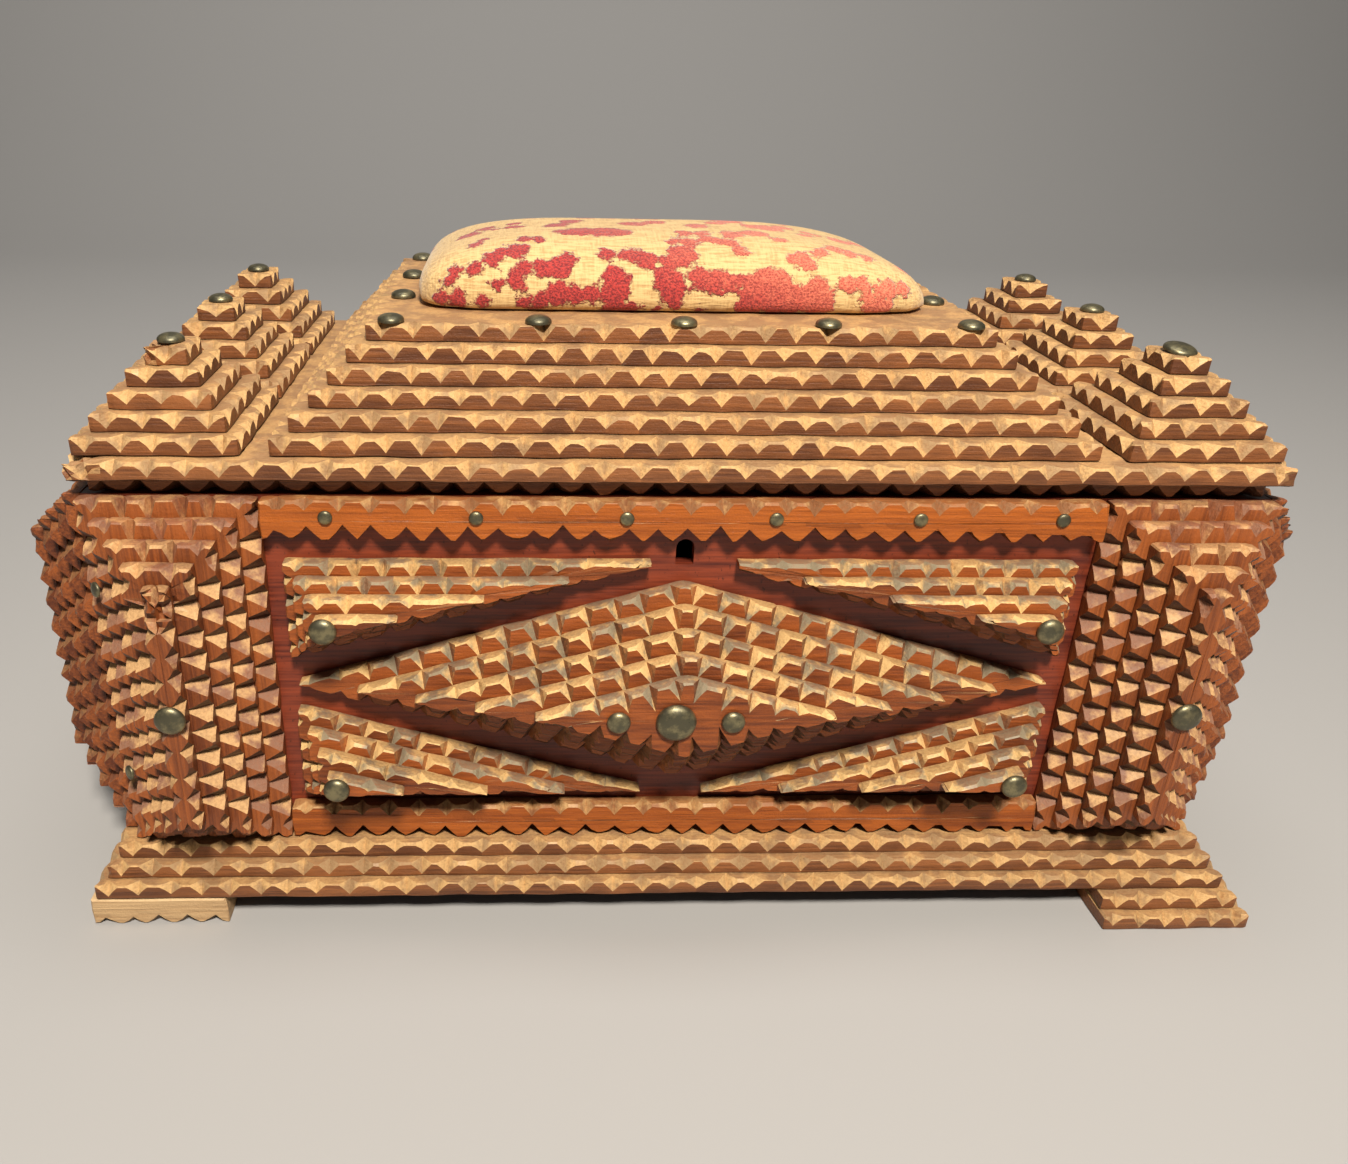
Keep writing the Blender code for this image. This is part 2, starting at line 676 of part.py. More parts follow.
def make_front_tacks(material):
    """Tacks on the front: pyramid centres, triangle centres, and three in a row on the rhombus."""
    tack = tack_mesh("front_tack", TACK_DIAMETER, TACK_HEIGHT, material)
    wide = tack_mesh("pyramid_tack", PYRAMID_TACK_DIAMETER, TACK_HEIGHT, material)
    facing = facing_front(0.0)
    pyramid_x = HALF_CASE + RAIL_SIDE_GAP - PYRAMID_WIDTH / 2
    pyramid_face = CASE_FRONT - 2 * GLUE_LINE - PYRAMID_ROWS * RELIEF_SHEET
    pyramid_z = (CASE_FLOOR + CASE_TOP) / 2
    for name, side in (("left", -1), ("right", 1)):
        place = Matrix.Translation((side * pyramid_x, pyramid_face, pyramid_z)) @ facing
        place_mesh(f"tack_pyramid_{name}", wide, place)
    triangle_face = CASE_FRONT - 2 * GLUE_LINE - TRIANGLE_ROWS * RELIEF_SHEET
    for height_name, level in (("upper", 1), ("lower", -1)):
        for name, side in (("left", -1), ("right", 1)):
            x, z = inner_centre(triangle_outline(side, level))
            place = Matrix.Translation((x, triangle_face, z)) @ facing
            place_mesh(f"tack_{height_name}_{name}", tack, place)
    large = tack_mesh("centre_tack", CENTRE_TACK_DIAMETER, CENTRE_TACK_HEIGHT, material)
    small = tack_mesh("side_tack", SMALL_TACK_DIAMETER, SMALL_TACK_HEIGHT, material)
    rhombus_face = CASE_FRONT - 2 * GLUE_LINE - RHOMBUS_ROWS * RELIEF_SHEET
    half_width, half_height, middle = rhombus_reach()
    for name, mesh, step in (("left", small, -1), ("middle", large, 0), ("right", small, 1)):
        x = CENTRE_TACK_SHIFT + step * CENTRE_TACK_SPACING
        place = Matrix.Translation((x, rhombus_face, middle)) @ facing
        place_mesh(f"tack_rhombus_{name}", mesh, place)


def inner_centre(triangle):
    """Give the centre of a triangle's inscribed circle."""
    corners = [Vector(point) for point in triangle]
    weights = [(corners[index - 2] - corners[index - 1]).length for index in range(3)]
    total = sum(weights)
    centre = sum((corners[index] * weights[index] for index in range(3)), Vector((0, 0)))
    return centre / total


def make_lid_tacks(material, hinge):
    """Tacks on the lid: one on each pyramid, and a ring round the cushion without its hidden back row."""
    tack = tack_mesh("lid_tack", TACK_DIAMETER, TACK_HEIGHT, material)
    apex = MOUND_BOTTOM + LID_PYRAMID_ROWS * LID_PYRAMID_SHEET + GLUE_LINE
    for name, outline, middle in lid_pyramid_places():
        place = Matrix.Translation((*middle, apex))
        place_mesh(f"tack_apex_{name}", tack, place, hinge)
    corners = mound_top_outline()
    left, front = corners[0]
    right, back = corners[2]
    left += MOUND_TACK_MARGIN_X
    right -= MOUND_TACK_MARGIN_X
    front += MOUND_TACK_MARGIN_Y
    back -= MOUND_TACK_MARGIN_Y
    height = MOUND_TOP + GLUE_LINE
    for index in range(MOUND_TACKS_LONG):
        x = left + (right - left) * index / (MOUND_TACKS_LONG - 1)
        place_mesh(f"tack_mound_front_{index + 1}", tack, Matrix.Translation((x, front, height)), hinge)
    for name, x in (("left", left), ("right", right)):
        for index in range(1, MOUND_TACKS_SHORT - 1):
            y = front + (back - front) * index / (MOUND_TACKS_SHORT - 1)
            place_mesh(f"tack_mound_{name}_{index}", tack, Matrix.Translation((x, y, height)), hinge)


def make_hinge_leaf(name, centre, upward, leaf_height, knuckles, material, hinge=None):
    """One leaf on the outside of the back, with its knuckles joined on. Knuckles are (start, end) along X."""
    front = CASE_BACK + GLUE_LINE
    clear = KNUCKLE_RADIUS + KNUCKLE_CLEARANCE
    ends = sorted((HINGE_Z + upward * clear, HINGE_Z + upward * (clear + leaf_height)))
    half = HINGE_LENGTH / 2
    plate = box_shape(centre - half, centre + half, front, front + HINGE_LEAF, *ends)
    leaf = add_object(name, plate, material, parent=hinge)
    overlap = HINGE_Z + upward * (clear + HINGE_LEAF)
    for index, (start, end) in enumerate(knuckles):
        length = end - start
        profile = [(KNUCKLE_RADIUS, -length / 2), (KNUCKLE_RADIUS, length / 2)]
        turn = Matrix.Rotation(math.pi / 2, 4, "Y")
        place = Matrix.Translation((centre + (start + end) / 2, HINGE_Y, HINGE_Z)) @ turn
        barrel = add_object(f"{name}_barrel_{index}", turned_shape(profile, 12), material, place)
        edges = sorted((HINGE_Z, overlap))
        tab = box_shape(centre + start, centre + end, front, front + HINGE_LEAF, *edges)
        tab = add_object(f"{name}_tab_{index}", tab, material)
        combine(leaf, tab, "UNION")
        combine(leaf, barrel, "UNION")


def make_hinges(material, hinge):
    """Two plain butt hinges on the back: the case leaf has two knuckles and the lid leaf the middle one."""
    half = HINGE_LENGTH / 2
    third = HINGE_LENGTH / 6
    inner = third - KNUCKLE_CLEARANCE / 2
    outer = third + KNUCKLE_CLEARANCE / 2
    for name, side in (("left", -1), ("right", 1)):
        centre = side * (HALF_CASE - HINGE_END_MARGIN)
        pair = ((-half, -outer), (outer, half))
        make_hinge_leaf(f"hinge_{name}_case", centre, -1, CASE_LEAF_HEIGHT, pair, material)
        single = ((-inner, inner),)
        make_hinge_leaf(f"hinge_{name}_lid", centre, 1, LID_LEAF_HEIGHT, single, material, hinge)


clear_scene()
lid_hinge = bpy.data.objects.new("lid_hinge_axis", None)
bpy.context.scene.collection.objects.link(lid_hinge)
lid_hinge.location = (0.0, HINGE_Y, HINGE_Z)
bpy.context.view_layer.update()

carved_wood = finish("carved_wood", (0.42, 0.19, 0.07), 0.45)
front_wood = finish("front_wood", (0.40, 0.15, 0.05), 0.42)
panel_wood = finish("panel_wood", (0.22, 0.05, 0.03), 0.40)
case_wood = finish("case_wood", (0.36, 0.20, 0.10), 0.60)
pale_wood = finish("pale_wood", (0.55, 0.40, 0.26), 0.65)
cloth = finish("cushion_cloth", (0.62, 0.30, 0.22), 0.90)
tack_brass = finish("tack_brass", (0.36, 0.28, 0.15), 0.40, 1.0)
hinge_brass = finish("hinge_brass", (0.45, 0.33, 0.15), 0.40, 1.0)

make_feet(carved_wood, pale_wood)
make_base(carved_wood)
make_case(case_wood, panel_wood)
make_rails(front_wood)
make_rhombus(front_wood)
make_triangles(front_wood)
make_front_pyramids(front_wood)
make_end_pyramids(front_wood)
make_front_tacks(tack_brass)
make_lid(carved_wood, lid_hinge)
make_lid_pyramids(carved_wood, lid_hinge)
make_mound(carved_wood, lid_hinge)
make_cushion(cloth, lid_hinge)
make_lid_tacks(tack_brass, lid_hinge)
make_hinges(hinge_brass, lid_hinge)
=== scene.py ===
# Looks of the old tramp art box, section by section, in the order in which such a box is put together.
import math

import bmesh
import bpy
import numpy as np
from mathutils import Matrix, Vector


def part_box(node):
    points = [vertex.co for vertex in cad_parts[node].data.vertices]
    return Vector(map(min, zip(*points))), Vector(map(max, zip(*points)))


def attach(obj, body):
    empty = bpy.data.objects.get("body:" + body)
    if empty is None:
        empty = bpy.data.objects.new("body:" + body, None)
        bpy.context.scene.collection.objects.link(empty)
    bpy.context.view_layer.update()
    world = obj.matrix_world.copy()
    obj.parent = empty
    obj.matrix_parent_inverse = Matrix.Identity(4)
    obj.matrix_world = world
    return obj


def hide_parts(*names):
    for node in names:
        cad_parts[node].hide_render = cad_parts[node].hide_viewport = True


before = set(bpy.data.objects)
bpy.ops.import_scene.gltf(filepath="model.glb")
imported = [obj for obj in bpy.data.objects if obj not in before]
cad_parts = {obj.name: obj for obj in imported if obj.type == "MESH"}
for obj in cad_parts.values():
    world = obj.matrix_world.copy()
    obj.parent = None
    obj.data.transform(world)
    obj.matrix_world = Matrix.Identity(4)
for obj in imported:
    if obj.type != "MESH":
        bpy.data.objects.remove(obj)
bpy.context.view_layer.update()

# The case: five thin boards of dark red mahogany and cigar-box wood, butted and glued round an empty
# space. The front board shows between the carvings, its old varnish crazed across the grain.

MAHOGANY_DARK = (0.075, 0.012, 0.007)
MAHOGANY_LIGHT = (0.275, 0.050, 0.018)
BOARD_DARK = (0.150, 0.060, 0.026)
BOARD_LIGHT = (0.330, 0.160, 0.075)
GRAIN_ALONG_X = (40.0, 1000.0, 1000.0)
GRAIN_ALONG_Y = (1000.0, 40.0, 1000.0)
CRAZE_BLACK = (0.020, 0.006, 0.004)
MAHOGANY_CRAZING = 0.75


def set_inputs(tree, node, inputs):
    """Give a node's inputs, by name or number, values or other nodes' output sockets."""
    for name, value in inputs.items():
        if isinstance(value, bpy.types.NodeSocket):
            tree.links.new(value, node.inputs[name])
        else:
            node.inputs[name].default_value = value


def add_node(tree, kind, inputs=None, **settings):
    """Add a shader node with its settings and inputs."""
    made = tree.nodes.new("ShaderNode" + kind)
    for name, value in settings.items():
        setattr(made, name, value)
    set_inputs(tree, made, inputs or {})
    return made


def new_material(name):
    """Start a material with one Principled shader, and return both with the node tree."""
    material = bpy.data.materials.new(name)
    material.use_nodes = True
    tree = material.node_tree
    return material, tree, tree.nodes["Principled BSDF"]


def blend_colours(tree, share, first, second):
    """Mix two colours, each a triple or a socket, by a share."""
    first, second = ((*value, 1.0) if isinstance(value, tuple) else value for value in (first, second))
    return add_node(tree, "Mix", {0: share, 6: first, 7: second}, data_type="RGBA").outputs[2]


def compute(tree, operation, first, second=0.0, third=0.0, clamp=False):
    """Work out one number from two or three, each a value or a socket."""
    inputs = {0: first, 1: second, 2: third}
    return add_node(tree, "Math", inputs, operation=operation, use_clamp=clamp).outputs[0]


def window(tree, value, low, high):
    """Rise smoothly from 0 to 1 while a value goes from low to high."""
    inputs = {"Value": value, "From Min": low, "From Max": high}
    return add_node(tree, "MapRange", inputs, interpolation_type="SMOOTHSTEP").outputs["Result"]


def grain(tree, scale, detail=5.0, roughness=0.62):
    """Noise on Object coordinates, stretched along the grain by a scale for each axis, per metre."""
    place = add_node(tree, "TexCoord").outputs["Object"]
    stretched = add_node(tree, "Mapping", {"Vector": place, "Scale": scale}).outputs["Vector"]
    inputs = {"Vector": stretched, "Scale": 1.0, "Detail": detail, "Roughness": roughness}
    return add_node(tree, "TexNoise", inputs).outputs["Fac"]


def relief(tree, height, strength, distance):
    """A bumped normal from a height."""
    inputs = {"Height": height, "Strength": strength, "Distance": distance}
    return add_node(tree, "Bump", inputs).outputs["Normal"]


def board_finish(name, dark, light, fibre, roughness, crazing=0.0):
    """Flat old board: fine pores and broad streaks along the grain, with dark craze lines across it."""
    material, tree, shader = new_material(name)
    fine = grain(tree, fibre)
    broad = grain(tree, tuple(value * 0.16 for value in fibre), 3.0)
    streaks = compute(tree, "MULTIPLY_ADD", broad, 0.6, compute(tree, "MULTIPLY", fine, 0.6))
    colour = blend_colours(tree, window(tree, streaks, 0.42, 0.78), dark, light)
    if crazing:
        across = (fibre[1] * 0.9, fibre[0] * 1.2, fibre[0] * 14.0)
        lines = window(tree, grain(tree, across, 6.0, 0.7), 0.60, 0.68)
        colour = blend_colours(tree, compute(tree, "MULTIPLY", lines, crazing), colour, CRAZE_BLACK)
    set_inputs(tree, shader, {
        "Base Color": colour, "Roughness": compute(tree, "MULTIPLY_ADD", fine, 0.25, roughness - 0.12),
        "Normal": relief(tree, fine, 0.35, 0.0003), "Specular IOR Level": 0.35, "Coat Weight": 0.06,
        "Coat Roughness": 0.30})
    return material


def dress(node, material):
    """Give a node of the frame its finish."""
    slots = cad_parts[node].data.materials
    if len(slots):
        for index in range(len(slots)):
            slots[index] = material
    else:
        slots.append(material)


mahogany = board_finish(
    "crazed_mahogany", MAHOGANY_DARK, MAHOGANY_LIGHT, GRAIN_ALONG_X, 0.42, MAHOGANY_CRAZING)
plain_board = board_finish("plain_case_board", BOARD_DARK, BOARD_LIGHT, GRAIN_ALONG_X, 0.60)
end_board = board_finish("plain_end_board", BOARD_DARK, BOARD_LIGHT, GRAIN_ALONG_Y, 0.60)
dress("case_front", mahogany)
dress("case_back", plain_board)
dress("case_bottom", plain_board)
dress("case_left", end_board)
dress("case_right", end_board)

# The base: three rows of cigar-box wood under the case, each stepping in above the other. Their upper
# arrises are cut with a knife into a row of V notches, whose raw facets have faded to a dusty tan.

CORNER_ROOM = 0.80
SHEET_GAP = 0.00008
SHEET_SOFTNESS = 0.00030
SHEET_SHIFT = 0.00020
CENTRE_SHARE = 0.96
COVERED_SHARE = 0.98
HIDDEN_REACH = 0.0020
PLAIN_COLUMN = 0.0120
MERGE_WAY = 0.000002
WOBBLE = 0.00018
UNEVEN_SPACING = 0.08
CUT_WIDTHS = (0.88, 1.0)
CUT_DEPTHS = (0.68, 1.0)
ARRIS_WEAR = (0.00015, 0.00100)
WEAR_SPREAD = (0.7, 1.3)
TOOTH_ROOM = 100
BARE_ARRIS = 0.6
SHEET_TONES = (0.0, 0.35)
LOW_SHEET_TONE = 0.25
TOOTH_TONES = 0.4
FADED_DARK = (0.120, 0.043, 0.019)
FADED_LIGHT = (0.370, 0.135, 0.043)
FADED_PALE = (0.680, 0.420, 0.175)
FADED_SMUDGE = (0.430, 0.270, 0.130)
BASE_SHEETS = 3
BASE_TREADS = (0.0038, 0.0035, 0.0, 0.0035)
BASE_PITCH = 0.0096
STEP_FLAT = 0.26
STEP_FALL = 0.93
STEP_CUT = 0.0040
ALL_SIDES = (0, 1, 2, 3)
FLAT_UP = ((1, 0, 0), (0, 1, 0), (0, 0, 1))
FACING_FRONT = ((1, 0, 0), (0, 0, 1), (0, -1, 0))
FACING_DOWN = ((1, 0, 0), (0, -1, 0), (0, 0, -1))
FACING_RIGHT = ((0, 1, 0), (0, 0, 1), (1, 0, 0))
FACING_LEFT = ((0, -1, 0), (0, 0, 1), (-1, 0, 0))


def side_frames(corners):
    """Sides of an anticlockwise outline: unit direction, unit inward normal, length, and the cotangent
    of half of the angle at the side's start, which is the tangent of half of the turn there."""
    run = np.roll(corners, -1, axis=0) - corners
    length = np.linalg.norm(run, axis=1)
    along = run / length[:, None]
    inward = np.stack([-along[:, 1], along[:, 0]], axis=1)
    cosine = np.clip((np.roll(along, 1, axis=0) * along).sum(axis=1), -1.0, 1.0)
    return along, inward, length, np.tan(np.arccos(cosine) / 2)


def inset_corners(corners, insets):
    """Corners after side i has moved inwards by insets[i]: a new corner p solves p . n = c for the
    moved lines of the two sides that meet there."""
    inward = side_frames(corners)[1]
    level = (corners * inward).sum(axis=1) + np.asarray(insets)
    pairs = np.stack([np.roll(inward, 1, axis=0), inward], axis=1)
    levels = np.stack([np.roll(level, 1), level], axis=1)
    return np.linalg.solve(pairs, levels[:, :, None])[:, :, 0]


def side_columns(length, pitch, flat, chance, carved):
    """Columns along one side: distance from its start, share of a full cut there, and tooth number.
    A cut is a tent: share = its depth * (1 - |offset|) at offsets of -1, -1/2, 0, 1/2 and 1 half widths
    from its middle."""
    if not carved:
        count = max(2, round(length / PLAIN_COLUMN))
        return np.arange(count) * length / count, np.zeros(count), np.zeros(count)
    count = max(1, round(length / pitch))
    spacing = length / count
    middle = (np.arange(count) + 0.5 + chance.uniform(-UNEVEN_SPACING, UNEVEN_SPACING, count)) * spacing
    half = spacing * (1 - flat) / 2 * chance.uniform(*CUT_WIDTHS, count)
    deep = chance.uniform(*CUT_DEPTHS, count)
    offsets = np.array([-1.0, -0.5, 0.0, 0.5, 1.0])
    place = (middle[:, None] + offsets * half[:, None]).ravel()
    share = ((1 - np.abs(offsets)) * deep[:, None]).ravel()
    tooth = (np.arange(count)[:, None] + (offsets >= 0)).ravel()
    return np.append(0.0, place), np.append(0.0, share), np.append(0.0, tooth)


def sheet_surface(corners, low, high, pitch, flat, fall, depth, carved, chance, covered):
    """One carved sheet as rows by columns. Row r of a column lies at inset d and height w: under the
    sheet, up its wall to high - fall * share, over the cut's slope to inset depth * share, and in
    across the tread. A cut whose fall passes the sheet's foot has left its wall there, at the inset
    depth * share * (1 - thickness / (fall * share)). Each tooth's arris is worn off by its own bevel.
    Along the side, a point is held between the two bisectors at its own inset. The flat share of a
    tooth, the fall and the depth are one number each, or one for each side."""
    along, inward, length, slope = side_frames(corners)
    flat, fall, depth = (np.broadcast_to(value, len(corners)) for value in (flat, fall, depth))
    sides, places, shares, teeth = [], [], [], []
    for side in range(len(corners)):
        place, share, tooth = side_columns(length[side], pitch, flat[side], chance, side in carved)
        sides.append(np.full(len(place), side))
        places.append(place)
        shares.append(share)
        teeth.append(tooth + TOOTH_ROOM * side)
    side = np.concatenate(sides)
    place = np.concatenate(places)
    share = np.concatenate(shares)
    tooth = np.concatenate(teeth)
    run = np.roll(corners, -1, axis=0) - corners
    centre_way = np.abs(np.cross(run, corners.mean(axis=0) - corners)) / length
    fall = fall[side]
    depth = np.minimum(depth, CENTRE_SHARE * centre_way)[side]
    start_slope = slope[side]
    end_slope = np.roll(slope, -1)[side]
    span = length[side]
    room = CORNER_ROOM * np.minimum(place / start_slope, (span - place) / end_slope)
    worn = chance.uniform(*ARRIS_WEAR, 10 * TOOTH_ROOM)[tooth.astype(int)]
    worn = worn * chance.uniform(*WEAR_SPREAD, len(tooth))
    drop = np.maximum(share * fall, worn)
    cut = np.maximum(share * np.minimum(depth, room), worn)
    reach = np.minimum(depth + HIDDEN_REACH, COVERED_SHARE * centre_way.min())
    gap = SHEET_SOFTNESS
    zero = np.zeros(len(place))
    thick = high - low
    stop = np.minimum(drop, thick - 2 * gap)
    foot = cut * (1 - stop / drop)
    crease = thick - stop
    inset = np.stack([foot + 3 * gap, foot + gap, foot, foot, foot, (foot + cut) / 2, cut,
                      (cut + reach) / 2, reach])
    rise = np.stack([zero, zero, zero + gap, (gap + crease) / 2, crease, thick - stop / 2,
                     zero + thick, zero + thick, zero + thick])
    corner = place == 0
    inset[:, corner] += SHEET_SOFTNESS
    lowest = inset * start_slope
    highest = span - inset * end_slope
    held = np.minimum(np.maximum(place, lowest), np.maximum(highest, lowest))
    flat_point = corners[side] + along[side] * held[:, :, None] + inward[side] * inset[:, :, None]
    grid = np.concatenate([flat_point, (low + rise)[:, :, None]], axis=2)
    # Dirt and painted shade in the hollows: full under the sheet, 0.8 at the foot of its wall, 0.3 up
    # the wall, 0.3 of the cut's share over the cut, and on the tread rising to full where the next sheet
    # covers it.
    dirt_and_shade = np.stack([zero + 1, zero + 1, zero + 0.8, zero + 0.3, share * 0.3, share * 0.3,
                      share * 0.3, zero + 0.3 * covered, zero + covered])
    cut_face = np.zeros((8, len(place)))
    cut_face[4:6] = np.where(share + np.roll(share, -1) > 0.2, 1.0, BARE_ARRIS)
    return grid, cut_face, dirt_and_shade, tooth


def hand_wobble(points, size):
    """Uneven hand work: an axis shifts by size * sin(k . p) * sin(q . p + 1.3), k and q per metre."""
    first = np.array([[310.0, 170.0, 230.0], [190.0, 330.0, 150.0], [260.0, 140.0, 350.0]])
    second = np.array([[90.0, 130.0, 70.0], [110.0, 60.0, 140.0], [70.0, 120.0, 100.0]])
    return points + size * np.sin(points @ first.T) * np.sin(points @ second.T + 1.3)


def splintered(points, spots):
    """Torn edges: within radius R of a spot, a point sinks towards the spot's way in by
    deep * (1 - (r / R)^2) * (0.55 + 0.45 sin(k . p)), k per metre, so that the break is ragged."""
    for centre, radius, way, deep in spots:
        near = np.linalg.norm(points - np.array(centre), axis=1) / radius
        share = np.clip(1 - near ** 2, 0, None)
        ragged = 0.55 + 0.45 * np.sin(points @ np.array([3700.0, 2900.0, 4300.0]))
        points = points + (share * ragged * deep)[:, None] * np.array(way)
    return points


def ring_quads(rows, columns):
    """Quads between neighbouring rings: each point, the next one round, and the two above them."""
    row, column = np.meshgrid(np.arange(rows - 1), np.arange(columns), indexing="ij")
    after = (column + 1) % columns
    here, above = row * columns, (row + 1) * columns
    quads = np.stack([here + column, here + after, above + after, above + column], axis=2)
    return quads.reshape(-1, 4)


def ring_fan(first, columns, pole):
    """Triangles from the ring of points that starts at a number to the pole over it."""
    column = np.arange(columns)
    return np.stack([first + column, first + (column + 1) % columns, pole + 0 * column], axis=1)


def new_piece(name, points, faces):
    """Put a new mesh of points and faces into the scene."""
    mesh = bpy.data.meshes.new(name)
    mesh.from_pydata(points.tolist(), [], faces)
    piece = bpy.data.objects.new(name, mesh)
    bpy.context.scene.collection.objects.link(piece)
    return piece


def carved_piece(name, sheets, axes, origin, spots=()):
    """Close each sheet's grid with a pole under and over it, place it by p = origin + [u v w] . axes,
    and store for each face whether it is a knife cut, its tone and how far it looks upwards. A tooth
    has a tone of its own, and the middle of the sheet has one for all."""
    points, faces, cuts, tones, dirt_and_shade_parts = [], [], [], [], []
    total = 0
    chance = np.random.default_rng(sum(map(ord, name)))
    for index, (grid, cut_face, dirt_and_shade, tooth) in enumerate(sheets):
        rows, columns = grid.shape[:2]
        middle = grid[-1, :, :2].mean(axis=0)
        poles = np.array([[*middle, grid[0, 0, 2]], [*middle, grid[-1, 0, 2]]])
        points += [grid.reshape(-1, 3), poles]
        pole = total + rows * columns
        faces += (total + ring_quads(rows, columns)).tolist()
        faces += ring_fan(total, columns, pole)[:, [1, 0, 2]].tolist()
        faces += ring_fan(pole - columns, columns, pole + 1).tolist()
        number = np.unique(tooth, return_inverse=True)[1]
        sheet_tone = chance.uniform(*SHEET_TONES) + LOW_SHEET_TONE * (1 - index / len(sheets))
        shade = chance.uniform(0, 1, number.max() + 1)[number] * TOOTH_TONES + sheet_tone
        cuts += [cut_face.ravel(), np.zeros(2 * columns)]
        tones += [np.tile(shade, rows - 3), np.full(4 * columns, sheet_tone + 0.3)]
        dirt_and_shade_parts += [dirt_and_shade.ravel(), np.ones(2)]
        total += rows * columns + 2
    local = np.concatenate(points)
    placed = np.array(origin) + local @ np.array(axes, float)
    piece = new_piece(name, splintered(hand_wobble(placed, WOBBLE), spots), faces)
    mesh = piece.data
    # Each point also keeps its share of dirt and painted shade in the hollows.
    stored = (("cut", "FACE", cuts), ("tone", "FACE", tones), ("dirt_and_shade", "POINT", dirt_and_shade_parts))
    for label, domain, parts in stored:
        values = np.concatenate(parts).astype(np.float32)
        mesh.attributes.new(label, "FLOAT", domain).data.foreach_set("value", values)
    tidy = bmesh.new()
    tidy.from_mesh(mesh)
    bmesh.ops.remove_doubles(tidy, verts=tidy.verts, dist=MERGE_WAY)
    bmesh.ops.dissolve_degenerate(tidy, edges=tidy.edges, dist=MERGE_WAY)
    tidy.to_mesh(mesh)
    tidy.free()
    normals = np.zeros(len(mesh.polygons) * 3, np.float32)
    mesh.polygons.foreach_get("normal", normals)
    up = mesh.attributes.new("up", "FLOAT", "FACE")
    up.data.foreach_set("value", np.ascontiguousarray(normals[2::3]))
    return piece


def stack_sheets(name, corners, insets, count, sheet, pitch, flat, fall, depth, carved=ALL_SIDES):
    """A stack of carved sheets: sheet k's outline is the first one after k insets of its sides."""
    chance = np.random.default_rng(7 + sum(map(ord, name)))
    corners = np.asarray(corners, float)
    sheets = []
    for index in range(count):
        shift = chance.uniform(-SHEET_SHIFT, SHEET_SHIFT, 2) * (index > 0)
        low = index * sheet + SHEET_GAP * (index > 0)
        high = (index + 1) * sheet
        covered = float(index < count - 1)
        sheets.append(sheet_surface(
            corners + shift, low, high, pitch, flat, fall, depth, carved, chance, covered))
        corners = inset_corners(corners, insets)
    return sheets


def rectangle(left, right, low, high):
    """An anticlockwise rectangle. Its sides are low, right, high and left."""
    return np.array([(left, low), (right, low), (right, high), (left, high)])


def carved_finish(name, old, bright, bare, dust, fibre, fade=0.85, roughness=0.42, lift=(0.05, 0.55)):
    """Carved old wood. Walls and cuts are old to bright varnish by grain and tone. Faces that look up
    have faded to bare wood with smudges of dust, between the two values of up that lift gives. Faces
    that look down are darkened by painted shade, and the hollows at the joints between the sheets by
    dirt and painted shade."""
    material, tree, shader = new_material(name)
    # The dark brown of painted shade, and of dirt in the hollows.
    shade_and_dirt_brown = tuple(value * 0.30 for value in old)
    fine = grain(tree, fibre)
    broad = grain(tree, tuple(value * 0.2 for value in fibre), 3.0)
    patch = grain(tree, (110.0,) * 3, 4.0, 0.6)
    dots = grain(tree, (1100.0,) * 3, 3.0, 0.6)
    tone, cut, up, dirt_and_shade = (
        add_node(tree, "Attribute", attribute_name=label).outputs["Fac"]
        for label in ("tone", "cut", "up", "dirt_and_shade"))
    streaks = compute(tree, "MULTIPLY_ADD", tone, 0.45, compute(tree, "MULTIPLY", fine, 0.7))
    streaks = compute(tree, "MULTIPLY_ADD", broad, 0.35, streaks)
    varnished = blend_colours(tree, window(tree, streaks, 0.50, 1.05), old, bright)
    smudged = window(tree, compute(tree, "MULTIPLY_ADD", tone, 0.35, patch), 0.62, 0.78)
    faded = blend_colours(tree, smudged, bare, dust)
    lifted = window(tree, up, *lift)
    share = compute(tree, "MULTIPLY", lifted, compute(tree, "MULTIPLY_ADD", cut, 0.30, 0.70))
    share = compute(tree, "MULTIPLY_ADD", share, fade, compute(tree, "MULTIPLY", cut, 0.10))
    speckle = compute(tree, "MULTIPLY_ADD", dots, 1.4, -0.7)
    share = compute(tree, "MULTIPLY_ADD", speckle, share, share, clamp=True)
    colour = blend_colours(tree, share, varnished, faded)
    down = compute(tree, "MULTIPLY", up, -1.0)
    # Painted shade: faces that look down are blended towards the dark brown.
    painted_underside_shade = compute(tree, "MULTIPLY", window(tree, down, 0.05, 0.50), 0.85)
    colour = blend_colours(tree, painted_underside_shade, colour, shade_and_dirt_brown)
    # Dirt and painted shade in the hollows, broken up by the patch noise.
    hollow_dirt_and_shade = compute(tree, "MULTIPLY", compute(tree, "MULTIPLY", dirt_and_shade, patch), 0.9, clamp=True)
    colour = blend_colours(tree, hollow_dirt_and_shade, colour, shade_and_dirt_brown)
    height = compute(tree, "MULTIPLY_ADD", dots, 0.5, fine)
    set_inputs(tree, shader, {
        "Base Color": colour, "Roughness": compute(tree, "MULTIPLY_ADD", share, 0.30, roughness),
        "Normal": relief(tree, height, 0.85, 0.0005), "Specular IOR Level": 0.30, "Coat Weight": 0.05,
        "Coat Roughness": 0.25})
    return material


def fit(piece, material, body, slot, *nodes):
    """Give a finished piece its material and body, and let it replace the nodes named. The record slot
    is not used.
    """
    piece.data.materials.append(material)
    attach(piece, body)
    if nodes:
        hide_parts(*nodes)


faded_tan = carved_finish(
    "faded_tan_wood", FADED_DARK, FADED_LIGHT, FADED_PALE, FADED_SMUDGE, GRAIN_ALONG_X)

